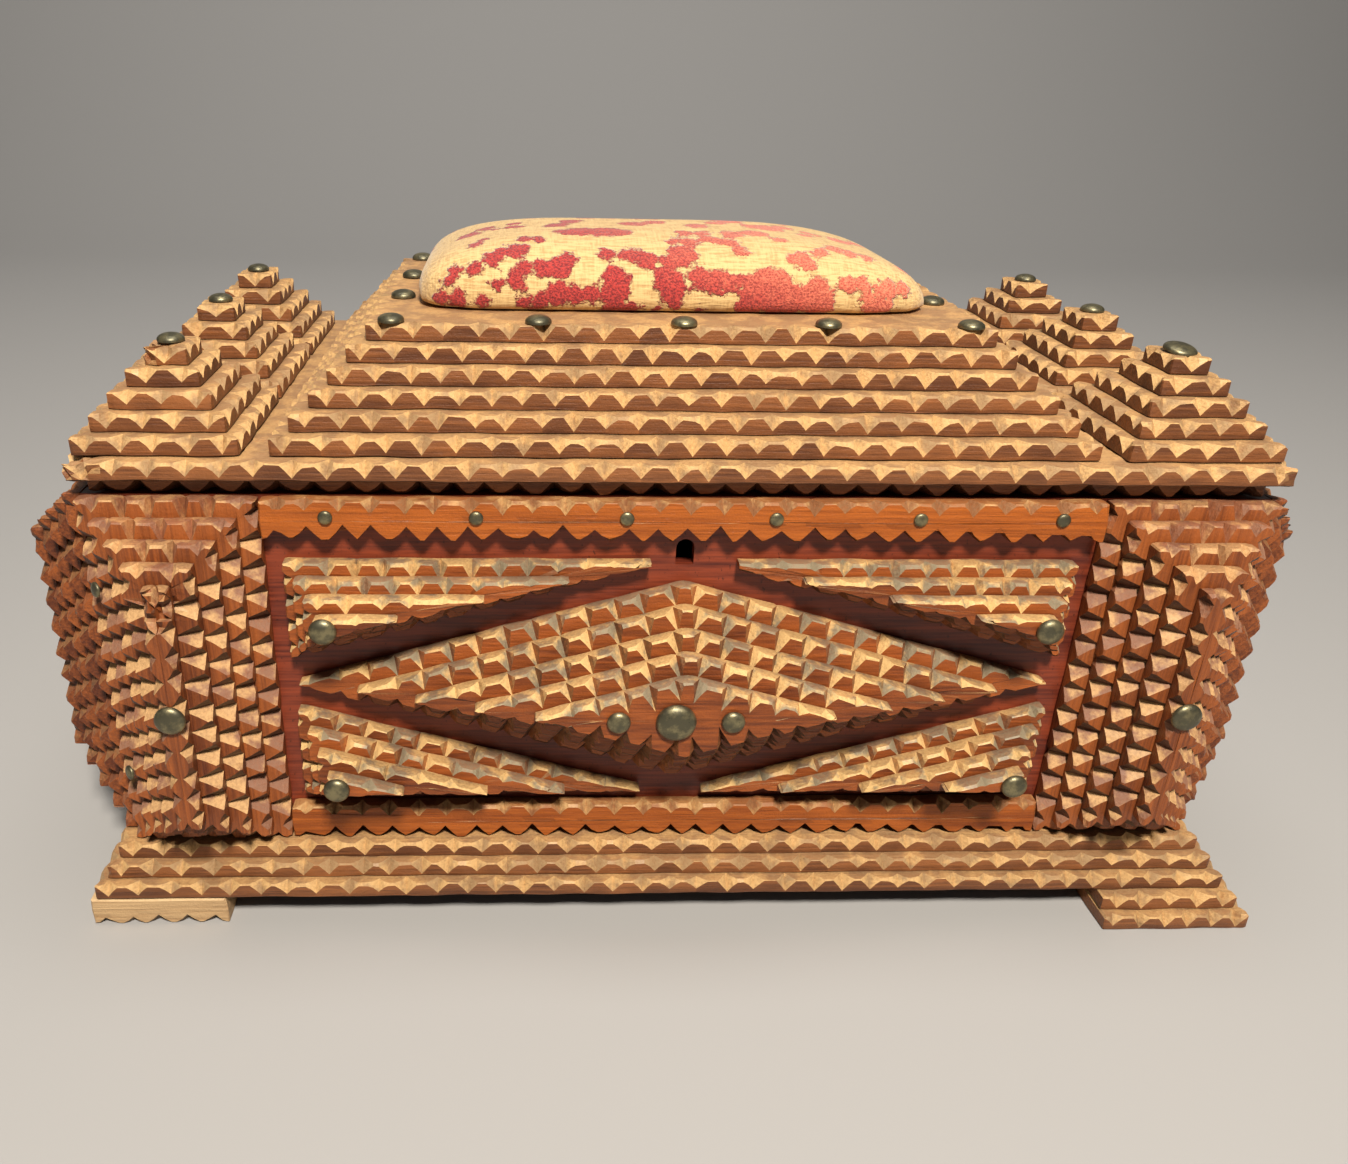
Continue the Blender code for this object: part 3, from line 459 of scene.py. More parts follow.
low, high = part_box("base")
base_sheet = (high.z - low.z) / BASE_SHEETS
base_outline = rectangle(low.x, high.x, low.y, high.y)
base_sheets = stack_sheets(
    "base", base_outline, BASE_TREADS, BASE_SHEETS, base_sheet, BASE_PITCH,
    STEP_FLAT, STEP_FALL * base_sheet, STEP_CUT, (0, 1, 3))
worn_corner = ((low.x, low.y, high.z), 0.012, (0.6, 0.6, -0.4), 0.0026)
base_piece = carved_piece("base_rows", base_sheets, FLAT_UP, (0, 0, low.z), (worn_corner,))
fit(base_piece, faded_tan, "case", "carved_wood", "base")

# The feet: two carved sheets on each corner, the lower one larger. The front left one has lost its
# outer sheets and shows the bare pale core, cut into a zigzag along its lower edge.

FOOT_SHEETS = 2
FOOT_STEP = 0.0035
FOOT_PITCH = 0.0090
BARE_DARK = (0.400, 0.230, 0.105)
BARE_LIGHT = (0.640, 0.430, 0.220)
BARE_PALE = (0.740, 0.520, 0.280)
BARE_SMUDGE = (0.420, 0.260, 0.140)
ZIGZAG_FLAT = 0.10

foot_sides = {
    "foot_front_right": ((FOOT_STEP, FOOT_STEP, 0, 0), (0, 1)),
    "foot_back_right": ((0, FOOT_STEP, 0, 0), (1,)),
    "foot_back_left": ((0, 0, 0, FOOT_STEP), (3,)),
}
for foot, (steps, carved_sides) in foot_sides.items():
    low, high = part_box(foot)
    foot_sheet = (high.z - low.z) / FOOT_SHEETS
    sheets = stack_sheets(
        foot, rectangle(low.x, high.x, low.y, high.y), steps, FOOT_SHEETS, foot_sheet, FOOT_PITCH,
        STEP_FLAT, STEP_FALL * foot_sheet, STEP_CUT, carved_sides)
    piece = carved_piece(foot + "_sheets", sheets, FLAT_UP, (0, 0, low.z))
    fit(piece, faded_tan, "case", "carved_wood", foot)
bare_wood = carved_finish(
    "bare_pale_wood", BARE_DARK, BARE_LIGHT, BARE_PALE, BARE_SMUDGE, GRAIN_ALONG_X, 0.9, 0.55)
low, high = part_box("foot_front_left")
worn_sheets = stack_sheets(
    "worn_foot", rectangle(low.x, high.x, low.z, high.z), (0, 0, 0, 0), 1, high.y - low.y, FOOT_PITCH,
    ZIGZAG_FLAT, STEP_CUT, STEP_CUT, (0,))
worn_foot = carved_piece("worn_foot_core", worn_sheets, FACING_FRONT, (0, high.y, 0))
fit(worn_foot, bare_wood, "case", "pale_wood", "foot_front_left")

# The ends: five sheets on each end wall, each set in from the one under it, with notches all round.
# They take the front's red, faded less, so that they come out darker and duller: painted shade, as the
# ends face away from the key light.

END_SHEETS = 5
END_TREADS = (0.0048, 0.0052, 0.0048, 0.0052)
END_PITCH = 0.0090
END_FLAT = 0.06
END_CUT = 0.0085
DEEP_FALL = 0.98
RED_DARK = (0.095, 0.024, 0.011)
RED_LIGHT = (0.390, 0.108, 0.025)
RED_PALE = (0.660, 0.390, 0.170)
RED_SMUDGE = (0.300, 0.150, 0.090)

# The front's red with less fading: painted shade on the ends.
end_shaded_red = carved_finish(
    "end_shaded_red_wood", RED_DARK, RED_LIGHT, RED_PALE, RED_SMUDGE, GRAIN_ALONG_Y, 0.30, lift=(0.30, 1.00))
for side, axes, sign in (("left", FACING_LEFT, -1), ("right", FACING_RIGHT, 1)):
    node = "end_pyramid_" + side
    low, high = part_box(node)
    near = low.x if sign > 0 else high.x
    edges = sorted((sign * low.y, sign * high.y))
    end_sheet = (high.x - low.x) / END_SHEETS
    sheets = stack_sheets(
        node, rectangle(*edges, low.z, high.z), END_TREADS, END_SHEETS, end_sheet, END_PITCH,
        END_FLAT, DEEP_FALL * end_sheet, END_CUT)
    piece = carved_piece(node + "_sheets", sheets, axes, (near, 0, 0))
    fit(piece, end_shaded_red, "case", "front_wood", node)

# The front corner pyramids: five upright sheets on each corner, whose notches meet in sharp points, so
# that the sides look like rows of small four-sided pyramids. The varnish there is still red brown.

PYRAMID_SHEETS = 5
PYRAMID_TREADS = (0.0047, 0.0052, 0.0047, 0.0052)
PYRAMID_PITCH = 0.0084
PYRAMID_FLATS = (0.30, 0.03, 0.42, 0.03)
PYRAMID_CUTS = (0.0082, 0.0095, 0.0082, 0.0095)
RIDGE_SQUEEZE = 0.82

front_red = carved_finish(
    "front_red_wood", RED_DARK, RED_LIGHT, RED_PALE, RED_SMUDGE, (1000.0, 1000.0, 40.0), 0.78)
for side in ("left", "right"):
    node = "front_pyramid_" + side
    low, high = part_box(node)
    sheet = (high.y - low.y) / PYRAMID_SHEETS
    sheets = stack_sheets(
        node, rectangle(low.x, high.x, low.z, high.z), PYRAMID_TREADS, PYRAMID_SHEETS, sheet,
        PYRAMID_PITCH, PYRAMID_FLATS, DEEP_FALL * sheet, PYRAMID_CUTS)
    middle = (low + high) / 2
    ridge = sheets[-1][0]
    ridge[:, :, 0] = middle.x + RIDGE_SQUEEZE * (ridge[:, :, 0] - middle.x)
    top_end = high.z - PYRAMID_SHEETS * PYRAMID_TREADS[2]
    torn = [((middle.x, low.y, top_end), 0.0080, (0.2, 0.9, -0.3), 0.0036)]
    piece = carved_piece(
        node + "_sheets", sheets, FACING_FRONT, (0, high.y, 0), torn if side == "left" else ())
    fit(piece, front_red, "case", "front_wood", node)

# The rails: one strip along the top and one along the bottom of the front, bright orange under their
# varnish, notched along both edges. Six small pins hold the top one.

RAIL_PITCH = 0.0092
RAIL_FLATS = (0.06, 0, 0.36, 0)
RAIL_FALLS = (4.0, 0, 0.95, 0)
RAIL_CUTS = (0.0052, 0, 0.0042, 0)
ORANGE_DARK = (0.125, 0.022, 0.005)
ORANGE_LIGHT = (0.460, 0.118, 0.016)
ORANGE_PALE = (0.600, 0.360, 0.150)
ORANGE_SMUDGE = (0.330, 0.160, 0.070)

rail_orange = carved_finish(
    "rail_orange_wood", ORANGE_DARK, ORANGE_LIGHT, ORANGE_PALE, ORANGE_SMUDGE, (30.0, 1000.0, 900.0),
    0.75, 0.36)
for node in ("front_rail_top", "front_rail_bottom"):
    low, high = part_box(node)
    thickness = high.y - low.y
    sheets = stack_sheets(
        node, rectangle(low.x, high.x, low.z, high.z), (0, 0, 0, 0), 1, thickness,
        RAIL_PITCH, RAIL_FLATS, tuple(share * thickness for share in RAIL_FALLS), RAIL_CUTS, (0, 2))
    piece = carved_piece(node + "_strip", sheets, FACING_FRONT, (0, high.y, 0))
    fit(piece, rail_orange, "case", "front_wood", node)

# The rhombus: five sheets, each following the one below it 5 mm in from its edge, so that the long
# tips step back by three times as much. The upper slopes have faded, and the lower ones are dark with
# painted shade.

RHOMBUS_SHEETS = 5
RHOMBUS_TREAD = 0.0050
RHOMBUS_PITCH = 0.0086
RHOMBUS_CUT = 0.0080
WIDE_FLAT = 0.40
AMBER_DARK = (0.085, 0.020, 0.009)
AMBER_LIGHT = (0.410, 0.105, 0.021)
AMBER_PALE = (0.760, 0.490, 0.200)
AMBER_SMUDGE = (0.300, 0.240, 0.150)

front_amber = carved_finish(
    "front_amber_wood", AMBER_DARK, AMBER_LIGHT, AMBER_PALE, AMBER_SMUDGE, (45.0, 1000.0, 800.0), 0.95)
low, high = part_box("rhombus")
middle = (low + high) / 2
rhombus_outline = np.array([
    (low.x, middle.z), (middle.x, low.z), (high.x, middle.z), (middle.x, high.z)])
rhombus_sheet = (high.y - low.y) / RHOMBUS_SHEETS
sheets = stack_sheets(
    "rhombus", rhombus_outline, (RHOMBUS_TREAD,) * 4, RHOMBUS_SHEETS, rhombus_sheet,
    RHOMBUS_PITCH, WIDE_FLAT, STEP_FALL * rhombus_sheet, RHOMBUS_CUT)
rhombus_piece = carved_piece("rhombus_sheets", sheets, FACING_FRONT, (0, high.y, 0))
fit(rhombus_piece, front_amber, "case", "front_wood", "rhombus")

# The triangles: four sheets in each corner round the rhombus, their long slopes running beside its own.
# The tip of the lower left one's top sheet has snapped off, and so has the upper right one's lowest tip.

TRIANGLE_SHEETS = 4
TRIANGLE_TREAD = 0.0035
TRIANGLE_PITCH = 0.0086
TRIANGLE_CUT = 0.0062
SNAPPED_TIP = -0.0570
LOST_TIP = 0.0070

for level in ("upper", "lower"):
    for side in ("left", "right"):
        node = f"triangle_{level}_{side}"
        low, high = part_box(node)
        outer, tip = (low.x, high.x) if side == "left" else (high.x, low.x)
        edge, foot = (high.z, low.z) if level == "upper" else (low.z, high.z)
        corners = np.array([(outer, foot), (tip, edge), (outer, edge)])
        turn = np.cross(corners[1] - corners[0], corners[2] - corners[0])
        corners = corners if turn > 0 else corners[::-1]
        sheet = (high.y - low.y) / TRIANGLE_SHEETS
        sheets = stack_sheets(
            node, corners, (TRIANGLE_TREAD,) * 3, TRIANGLE_SHEETS, sheet, TRIANGLE_PITCH,
            WIDE_FLAT, STEP_FALL * sheet, TRIANGLE_CUT)
        lowest, highest = sheets[0][0], sheets[-1][0]
        if node == "triangle_lower_left":
            highest[:, :, 0] = np.minimum(highest[:, :, 0], SNAPPED_TIP)
        if node == "triangle_upper_right":
            lowest[:, :, 0] = np.maximum(lowest[:, :, 0], tip + LOST_TIP)
        away = math.copysign(1.0, outer)
        blunt_tip = ((tip, low.y, edge), 0.007, (away, 0, 0), 0.0032)
        piece = carved_piece(node + "_sheets", sheets, FACING_FRONT, (0, high.y, 0), (blunt_tip,))
        fit(piece, front_amber, "case", "front_wood", node)

# The tacks: upholstery nails with thin domed heads of brass, gone a dull greenish brown. The large one
# in the middle of the front is plain here. Small round pins hold the top rail, and two more stand in
# the side of the left front pyramid.

DOME_COLUMNS = 28
DOME_RINGS = 7
TACK_EDGE = 0.0004
RIM_ANGLE = math.radians(55)
TACK_BRIGHT = (0.28, 0.24, 0.13)
TACK_DULL = (0.12, 0.11, 0.07)
VERDIGRIS = (0.06, 0.07, 0.04)
PIN_DIAMETER = 0.0042
PIN_HEIGHT = 0.0012
PIN_PLACES = (-0.1048, -0.0618, -0.0183, 0.0252, 0.0676, 0.1100)
PIN_RAIL_SHARE = 0.60
SIDE_TACK_DIAMETER = 0.0046
SIDE_TACK_HEIGHTS = (0.1195, 0.0560)
SIDE_TACK_SHEET = 1.9
SIDE_TACK_SINK = 0.0007
SIDE_TACK_WAY = (-0.7, -0.7, 0.1)


def dome(name, centre, normal, radius, height, lean=(0.0, 0.0)):
    """A domed head: ring t of the meridian lies at radius r sin(t pi / 2) and height h cos(t pi / 2)
    above its edge, with a short straight edge below, turned so that its axis is the normal."""
    turn = np.linspace(0, 2 * math.pi, DOME_COLUMNS, endpoint=False)
    rise = np.linspace(0.12, 1.0, DOME_RINGS) * math.pi / 2
    around = np.append(radius * np.sin(rise), [radius, 0.75 * radius])
    level = np.append((height - TACK_EDGE) * np.cos(rise) + TACK_EDGE, [0.0, 0.0])
    ring = np.stack([np.cos(turn), np.sin(turn)], axis=1)
    flat = around[:, None, None] * ring[None]
    points = np.concatenate([flat, np.repeat(level[:, None, None], len(turn), axis=1)], axis=2)
    points = np.concatenate([points.reshape(-1, 3), [[0, 0, height], [0, 0, 0]]])
    axis = (Vector(normal) + Vector((*lean, 0.0))).normalized()
    facing = np.array(axis.to_track_quat("Z", "Y").to_matrix())
    points = points @ facing.T + np.array(centre)
    rows, columns = len(around), len(turn)
    top = rows * columns
    faces = ring_quads(rows, columns)[:, ::-1].tolist() + ring_fan(0, columns, top).tolist()
    faces += ring_fan(top - columns, columns, top + 1)[:, [1, 0, 2]].tolist()
    piece = new_piece(name, points, faces)
    piece.data.shade_smooth()
    piece.data.set_sharp_from_angle(angle=RIM_ANGLE)
    return piece


def brass_finish(name, bright, dull, roughness):
    """Old brass: dull brown green, with brighter rubbed places and pits of verdigris."""
    material, tree, shader = new_material(name)
    broad = grain(tree, (260.0,) * 3, 4.0)
    fine = grain(tree, (1600.0,) * 3, 3.0)
    rubbed = window(tree, broad, 0.40, 0.66)
    colour = blend_colours(tree, rubbed, dull, bright)
    colour = blend_colours(tree, window(tree, fine, 0.60, 0.75), colour, VERDIGRIS)
    set_inputs(tree, shader, {
        "Base Color": colour, "Roughness": compute(tree, "MULTIPLY_ADD", broad, -0.25, roughness + 0.12),
        "Normal": relief(tree, fine, 0.25, 0.0002), "Metallic": 0.8})
    return material


old_brass = brass_finish("old_tack_brass", TACK_BRIGHT, TACK_DULL, 0.42)


def front_tack(node):
    """Set a domed head over a tack's solid on the front, its axis towards the viewer."""
    low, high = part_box(node)
    middle = (low + high) / 2
    place = (middle.x, high.y, middle.z)
    piece = dome(node + "_head", place, (0, -1, 0), (high.x - low.x) / 2, high.y - low.y)
    fit(piece, old_brass, "case", "tack_brass", node)


for side in ("left", "right"):
    front_tack("tack_pyramid_" + side)
    front_tack("tack_upper_" + side)
    front_tack("tack_lower_" + side)
for place in ("left", "middle", "right"):
    front_tack("tack_rhombus_" + place)
low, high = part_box("front_rail_top")
pin_height = low.z + PIN_RAIL_SHARE * (high.z - low.z)
for index, x in enumerate(PIN_PLACES):
    pin = dome(f"rail_pin_{index + 1}", (x, low.y, pin_height), (0, -1, 0), PIN_DIAMETER / 2, PIN_HEIGHT)
    fit(pin, old_brass, "case", "tack_brass")
low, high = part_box("front_pyramid_left")
side_x = low.x + PYRAMID_TREADS[3] - SIDE_TACK_SINK
side_y = high.y - SIDE_TACK_SHEET * (high.y - low.y) / PYRAMID_SHEETS
for index, height in enumerate(SIDE_TACK_HEIGHTS):
    place = (side_x, side_y, height)
    pin = dome(f"side_tack_{index + 1}", place, SIDE_TACK_WAY, SIDE_TACK_DIAMETER / 2, PIN_HEIGHT)
    fit(pin, old_brass, "case", "tack_brass")

# The lid: one board with a notched edge all round but at the back, and under it a second sheet, set
# back, whose notches point down into the shadow over the case.

RIM_PITCH = 0.0098
RIM_FALL = 0.97
LID_FLAT, LID_CUT = 0.28, 0.0050
RIM_FLAT, RIM_CUT = 0.14, 0.0048

low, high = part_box("lid_board")
sheets = stack_sheets(
    "lid_board", rectangle(low.x, high.x, low.y, high.y), (0, 0, 0, 0), 1, high.z - low.z, RIM_PITCH,
    LID_FLAT, RIM_FALL * (high.z - low.z), LID_CUT, (0, 1, 3))
rubbed_corners = (
    ((low.x, low.y, high.z), 0.013, (0.6, 0.5, -0.5), 0.0034),
    ((low.x, 0.01, high.z), 0.010, (0.7, 0.0, -0.5), 0.0016),
    ((high.x, low.y, high.z), 0.008, (-0.5, 0.5, -0.6), 0.0018))
lid_board = carved_piece("lid_board_carved", sheets, FLAT_UP, (0, 0, low.z), rubbed_corners)
fit(lid_board, faded_tan, "lid", "lid_wood", "lid_board")
low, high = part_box("lid_rim")
sheets = stack_sheets(
    "lid_rim", rectangle(low.x, high.x, -high.y, -low.y), (0, 0, 0, 0), 1, high.z - low.z, RIM_PITCH,
    RIM_FLAT, RIM_FALL * (high.z - low.z), RIM_CUT, (1, 2, 3))
lid_rim = carved_piece("lid_rim_carved", sheets, FACING_DOWN, (0, 0, high.z))
fit(lid_rim, faded_tan, "lid", "lid_wood", "lid_rim")

# The lid's pyramids: three along each end, five sheets each, glued on beside the mound. The front left
# one has a torn place near its top.

LID_PYRAMID_SHEETS = 5
LID_PYRAMID_TREADS = (0.0049, 0.0043, 0.0049, 0.0043)
LID_PYRAMID_PITCH = 0.0092
LID_PYRAMID_FALL, LID_PYRAMID_CUT = 0.94, 0.0046
TORN_PYRAMID = "lid_pyramid_left_1"

for side in ("left", "right"):
    for number in (1, 2, 3):
        node = f"lid_pyramid_{side}_{number}"
        low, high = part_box(node)
        sheet = (high.z - low.z) / LID_PYRAMID_SHEETS
        sheets = stack_sheets(
            node, rectangle(low.x, high.x, low.y, high.y), LID_PYRAMID_TREADS, LID_PYRAMID_SHEETS, sheet,
            LID_PYRAMID_PITCH, STEP_FLAT, LID_PYRAMID_FALL * sheet, LID_PYRAMID_CUT)
        middle = (low + high) / 2
        torn = [((middle.x - 0.004, middle.y - 0.006, high.z), 0.0075, (0.3, 0.6, -0.7), 0.0030)]
        piece = carved_piece(
            node + "_sheets", sheets, FLAT_UP, (0, 0, low.z), torn if node == TORN_PYRAMID else ())
        fit(piece, faded_tan, "lid", "lid_wood", node)

# The mound: six sheets glued up in the middle of the lid, each stepping in above the other, with a joint
# under each, darkened by dirt and painted shade.

MOUND_SHEETS = 6
MOUND_TREADS = (0.0057, 0.0050, 0.0057, 0.0050)
MOUND_PITCH = 0.0095
MOUND_FLAT, MOUND_CUT = 0.30, 0.0052

low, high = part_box("mound")
mound_sheet = (high.z - low.z) / MOUND_SHEETS
sheets = stack_sheets(
    "mound", rectangle(low.x, high.x, low.y, high.y), MOUND_TREADS, MOUND_SHEETS, mound_sheet,
    MOUND_PITCH, MOUND_FLAT, STEP_FALL * mound_sheet, MOUND_CUT)
mound_piece = carved_piece("mound_sheets", sheets, FLAT_UP, (0, 0, low.z))
fit(mound_piece, faded_tan, "lid", "lid_wood", "mound")

# The tacks of the lid: one on top of each pyramid, and a ring round the cushion with its back row. The
# one on the front right pyramid is a wider nail that stands askew.

ASKEW_TACK = "tack_apex_right_1"
ASKEW_GROWTH = 1.25
ASKEW_LEAN = (0.10, -0.16)

for node in sorted(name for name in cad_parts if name.startswith(("tack_apex", "tack_mound"))):
    low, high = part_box(node)
    middle = (low + high) / 2
    askew = node == ASKEW_TACK
    radius = (high.x - low.x) / 2 * (ASKEW_GROWTH if askew else 1.0)
    lean = ASKEW_LEAN if askew else (0.0, 0.0)
    piece = dome(node + "_head", (middle.x, middle.y, low.z), (0, 0, 1), radius, high.z - low.z, lean)
    fit(piece, old_brass, "lid", "lid_tack_brass", node)
mound_low, mound_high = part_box("mound")
for number in (1, 2, 3, 4, 5):
    low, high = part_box(f"tack_mound_front_{number}")
    middle = (low + high) / 2
    place = (middle.x, mound_low.y + mound_high.y - middle.y, low.z)
    name = f"tack_mound_back_{number}_head"
    piece = dome(name, place, (0, 0, 1), (high.x - low.x) / 2, high.z - low.z)
    fit(piece, old_brass, "lid", "lid_tack_brass")

# The pincushion: linen woven with crimson plush leaves, stuffed hard and tacked down in the ring of
# tacks. The plush has faded to salmon towards the right and is rubbed down to its ground in places.

CUSHION_COLUMNS = 96
CUSHION_RINGS = 24
CUSHION_SHRINK = 0.99
PLAN_CURVE = 0.28
PROFILE_CURVE = 0.72
PROFILE_SKEW = 0.10
STUFFING_VOXEL = 0.0026
STUFFING_PRESSURE = 2.5
STUFFING_FRAMES = 20
STUFFING_CAP = 0.0010
LINEN_LIGHT = (0.700, 0.480, 0.205)
LINEN_SHADE = (0.500, 0.305, 0.118)
CRIMSON = (0.520, 0.045, 0.035)
DEEP_CRIMSON = (0.200, 0.016, 0.018)
SALMON = (0.800, 0.250, 0.135)
RUBBED_SALMON = (0.520, 0.095, 0.055)
LEAVES = (
    (-0.89, 0.13, 3.0), (-0.82, 0.14, 3.2), (-0.74, 0.10, 2.6), (-0.86, 0.41, 2.4), (-0.82, 0.52, 2.8),
    (-0.76, 0.61, 2.8), (-0.71, 0.70, 3.2), (-0.76, 0.81, 2.8), (-0.72, 0.86, 2.4), (-0.66, 0.74, 3.2),
    (-0.60, 0.81, 4.2), (-0.56, 0.89, 3.2), (-0.51, 0.91, 2.0), (-0.66, 0.37, 2.4), (-0.61, 0.45, 3.2),
    (-0.57, 0.56, 3.2), (-0.52, 0.63, 3.2), (-0.46, 0.57, 4.4), (-0.43, 0.70, 3.2), (-0.39, 0.72, 1.8),
    (-0.56, 0.10, 3.0), (-0.50, 0.19, 3.6), (-0.46, 0.32, 4.2), (-0.39, 0.30, 3.6), (-0.34, 0.21, 3.4),
    (-0.24, 0.45, 4.6), (-0.24, 0.25, 4.4), (-0.24, 0.08, 4.6), (-0.16, 0.06, 3.0), (-0.08, 0.05, 1.8),
    (-0.43, 0.97, 4.0), (-0.35, 0.98, 5.5), (-0.26, 0.98, 5.5), (-0.19, 0.97, 4.0), (-0.25, 0.78, 3.2),
    (-0.18, 0.76, 4.0), (-0.11, 0.69, 3.2), (-0.02, 0.69, 4.4), (0.03, 0.77, 5.0), (0.05, 0.89, 3.6),
    (0.13, 0.93, 3.4), (0.20, 0.90, 3.0), (-0.05, 0.47, 5.0), (-0.03, 0.24, 4.0), (-0.01, 0.11, 2.8),
    (0.09, 0.50, 3.8), (0.15, 0.42, 4.8), (0.21, 0.45, 2.8), (-0.03, 0.90, 2.6), (0.22, 0.83, 2.8),
    (0.27, 0.81, 2.0), (0.04, 0.98, 3.5), (0.11, 0.98, 3.0), (0.24, 0.97, 4.5), (0.33, 0.97, 5.0),
    (0.40, 0.93, 3.0), (0.31, 0.40, 5.5), (0.36, 0.45, 5.5), (0.39, 0.17, 6.5), (0.27, 0.12, 5.0),
    (0.50, 0.27, 6.2), (0.53, 0.10, 4.2), (0.44, 0.76, 3.6), (0.49, 0.70, 3.6), (0.53, 0.82, 3.0),
    (0.61, 0.83, 3.4), (0.66, 0.77, 3.4), (0.74, 0.73, 3.0), (0.56, 0.93, 3.0), (0.62, 0.91, 2.4),
    (0.64, 0.46, 3.4), (0.71, 0.44, 2.8), (0.79, 0.40, 3.4), (0.84, 0.34, 3.0), (0.73, 0.10, 4.2),
    (0.79, 0.14, 3.0), (-0.79, 0.90, 2.2), (-0.70, 0.96, 2.5), (0.09, 0.05, 1.8))
TOP_LEAVES = (
    (-0.80, -0.05, 4.2), (-0.74, 0.10, 3.6), (-0.62, 0.00, 3.6), (-0.45, -0.10, 4.6), (-0.40, 0.12, 4.2),
    (-0.15, 0.00, 5.0), (-0.06, 0.14, 4.0), (0.12, -0.08, 4.6), (0.20, 0.10, 3.8), (0.42, 0.00, 5.0),
    (0.50, 0.18, 4.2), (0.70, -0.05, 4.2), (0.80, 0.15, 4.0), (-0.97, 0.30, 3.8), (-0.98, -0.25, 4.0),
    (0.96, -0.25, 4.0), (0.98, 0.35, 3.6), (-0.90, 0.62, 3.4), (0.90, -0.60, 3.2))


def stuffed_dome(name, low, high):
    """A dome over a rounded rectangle: at turn a and rise t, x = half width * cos(t)^p * |cos a|^q and y
    likewise with sin a, each with its sign, and z = height * sin(t)^p. The power p grows by the skew
    times cos a, so that the left end is steep and the right end gentle. The underside closes flat."""
    turn = np.linspace(0, 2 * math.pi, CUSHION_COLUMNS, endpoint=False)
    rise = np.linspace(0, 1, CUSHION_RINGS)[:-1, None] ** 1.5 * math.pi / 2
    power = PROFILE_CURVE + PROFILE_SKEW * np.cos(turn)
    swell = np.cos(rise) ** power
    level = (high.z - low.z) * np.sin(rise) ** power
    half = np.array([(high.x - low.x) / 2, (high.y - low.y) / 2]) * CUSHION_SHRINK
    middle = np.array([(high.x + low.x) / 2, (high.y + low.y) / 2])
    corner = np.stack([np.cos(turn), np.sin(turn)], axis=1)
    plan = np.sign(corner) * np.abs(corner) ** PLAN_CURVE * half
    flat = middle + swell[:, :, None] * plan[None]
    grid = np.concatenate([flat, low.z + level[:, :, None]], axis=2)
    points = np.concatenate([grid.reshape(-1, 3), [[*middle, high.z], [*middle, low.z]]])
    rows, columns = len(rise), len(turn)
    top = rows * columns
    faces = ring_quads(rows, columns).tolist() + ring_fan(top - columns, columns, top).tolist()
    faces += ring_fan(0, columns, top + 1)[:, [1, 0, 2]].tolist()
    return new_piece(name, points, faces)


def shape_of(piece):
    """A piece's mesh as its modifiers leave it, and its points as an array."""
    seen = piece.evaluated_get(bpy.context.evaluated_depsgraph_get())
    mesh = bpy.data.meshes.new_from_object(seen)
    points = np.zeros(len(mesh.vertices) * 3, np.float32)
    mesh.vertices.foreach_get("co", points)
    return mesh, points.reshape(-1, 3)


def stuff(piece, low, high):
    """Swell a piece as cloth under pressure with its underside held. A point goes at most the cap's way,
    and none leaves the room between the mound and the top."""
    remesh = piece.modifiers.new("remesh", "REMESH")
    remesh.mode = "VOXEL"
    remesh.voxel_size = STUFFING_VOXEL
    mesh, before = shape_of(piece)
    piece.modifiers.clear()
    piece.data = mesh
    held = piece.vertex_groups.new(name="held")
    held.add(np.flatnonzero(before[:, 2] < low.z + STUFFING_VOXEL / 2).tolist(), 1.0, "REPLACE")
    cloth = piece.modifiers.new("stuffing", "CLOTH")
    cloth.settings.vertex_group_mass = "held"
    cloth.settings.use_pressure = True
    cloth.settings.uniform_pressure_force = STUFFING_PRESSURE
    cloth.settings.effector_weights.gravity = 0.0
    for frame_number in range(1, STUFFING_FRAMES + 1):
        bpy.context.scene.frame_set(frame_number)
    swollen, after = shape_of(piece)
    piece.modifiers.clear()
    bpy.context.scene.frame_set(1)
    way = after - before
    length = np.linalg.norm(way, axis=1, keepdims=True)
    points = before + way * np.minimum(1.0, STUFFING_CAP / np.maximum(length, 1e-9))
    points[:, 2] = np.clip(points[:, 2], low.z, high.z)
    mesh.vertices.foreach_set("co", np.ascontiguousarray(points, np.float32).ravel())
    mesh.update()
    bpy.data.meshes.remove(swollen)


def leaf_edge(points, low, high):
    """Way from each point to the nearest leaf's edge, below 0 inside: the least of |p - c| - r over
    balls. A leaf's place gives c as the dome's point nearest to it, seen from the front: the share of
    the half width to the right, and of the height, with r in millimetres. The same leaves, turned half
    round, are on the back. A place on the top is seen from above, as shares of both half widths."""
    middle = (low + high) / 2
    half = (high - low) / 2
    leaves, tops = np.array(LEAVES), np.array(TOP_LEAVES)
    above = points[points[:, 2] > low.z + 0.0008]
    aim = np.array(middle.xy) + tops[:, :2] * np.array(half.xy)
    away = np.linalg.norm(above[None, :, :2] - aim[:, None], axis=2)
    centres = [above[away.argmin(axis=1)]]
    for side in (-1, 1):
        there = above[(above[:, 1] - middle.y) * side >= 0]
        aim = np.array([middle.x, low.z]) + leaves[:, :2] * np.array([-side * half.x, 2 * half.z])
        away = np.linalg.norm(there[None, :, ::2] - aim[:, None], axis=2)
        centres.append(there[away.argmin(axis=1)])
    way = np.linalg.norm(points[:, None] - np.concatenate(centres)[None], axis=2)
    radius = np.concatenate([tops[:, 2], leaves[:, 2], leaves[:, 2]]) / 1000
    return (way - radius).min(axis=1)


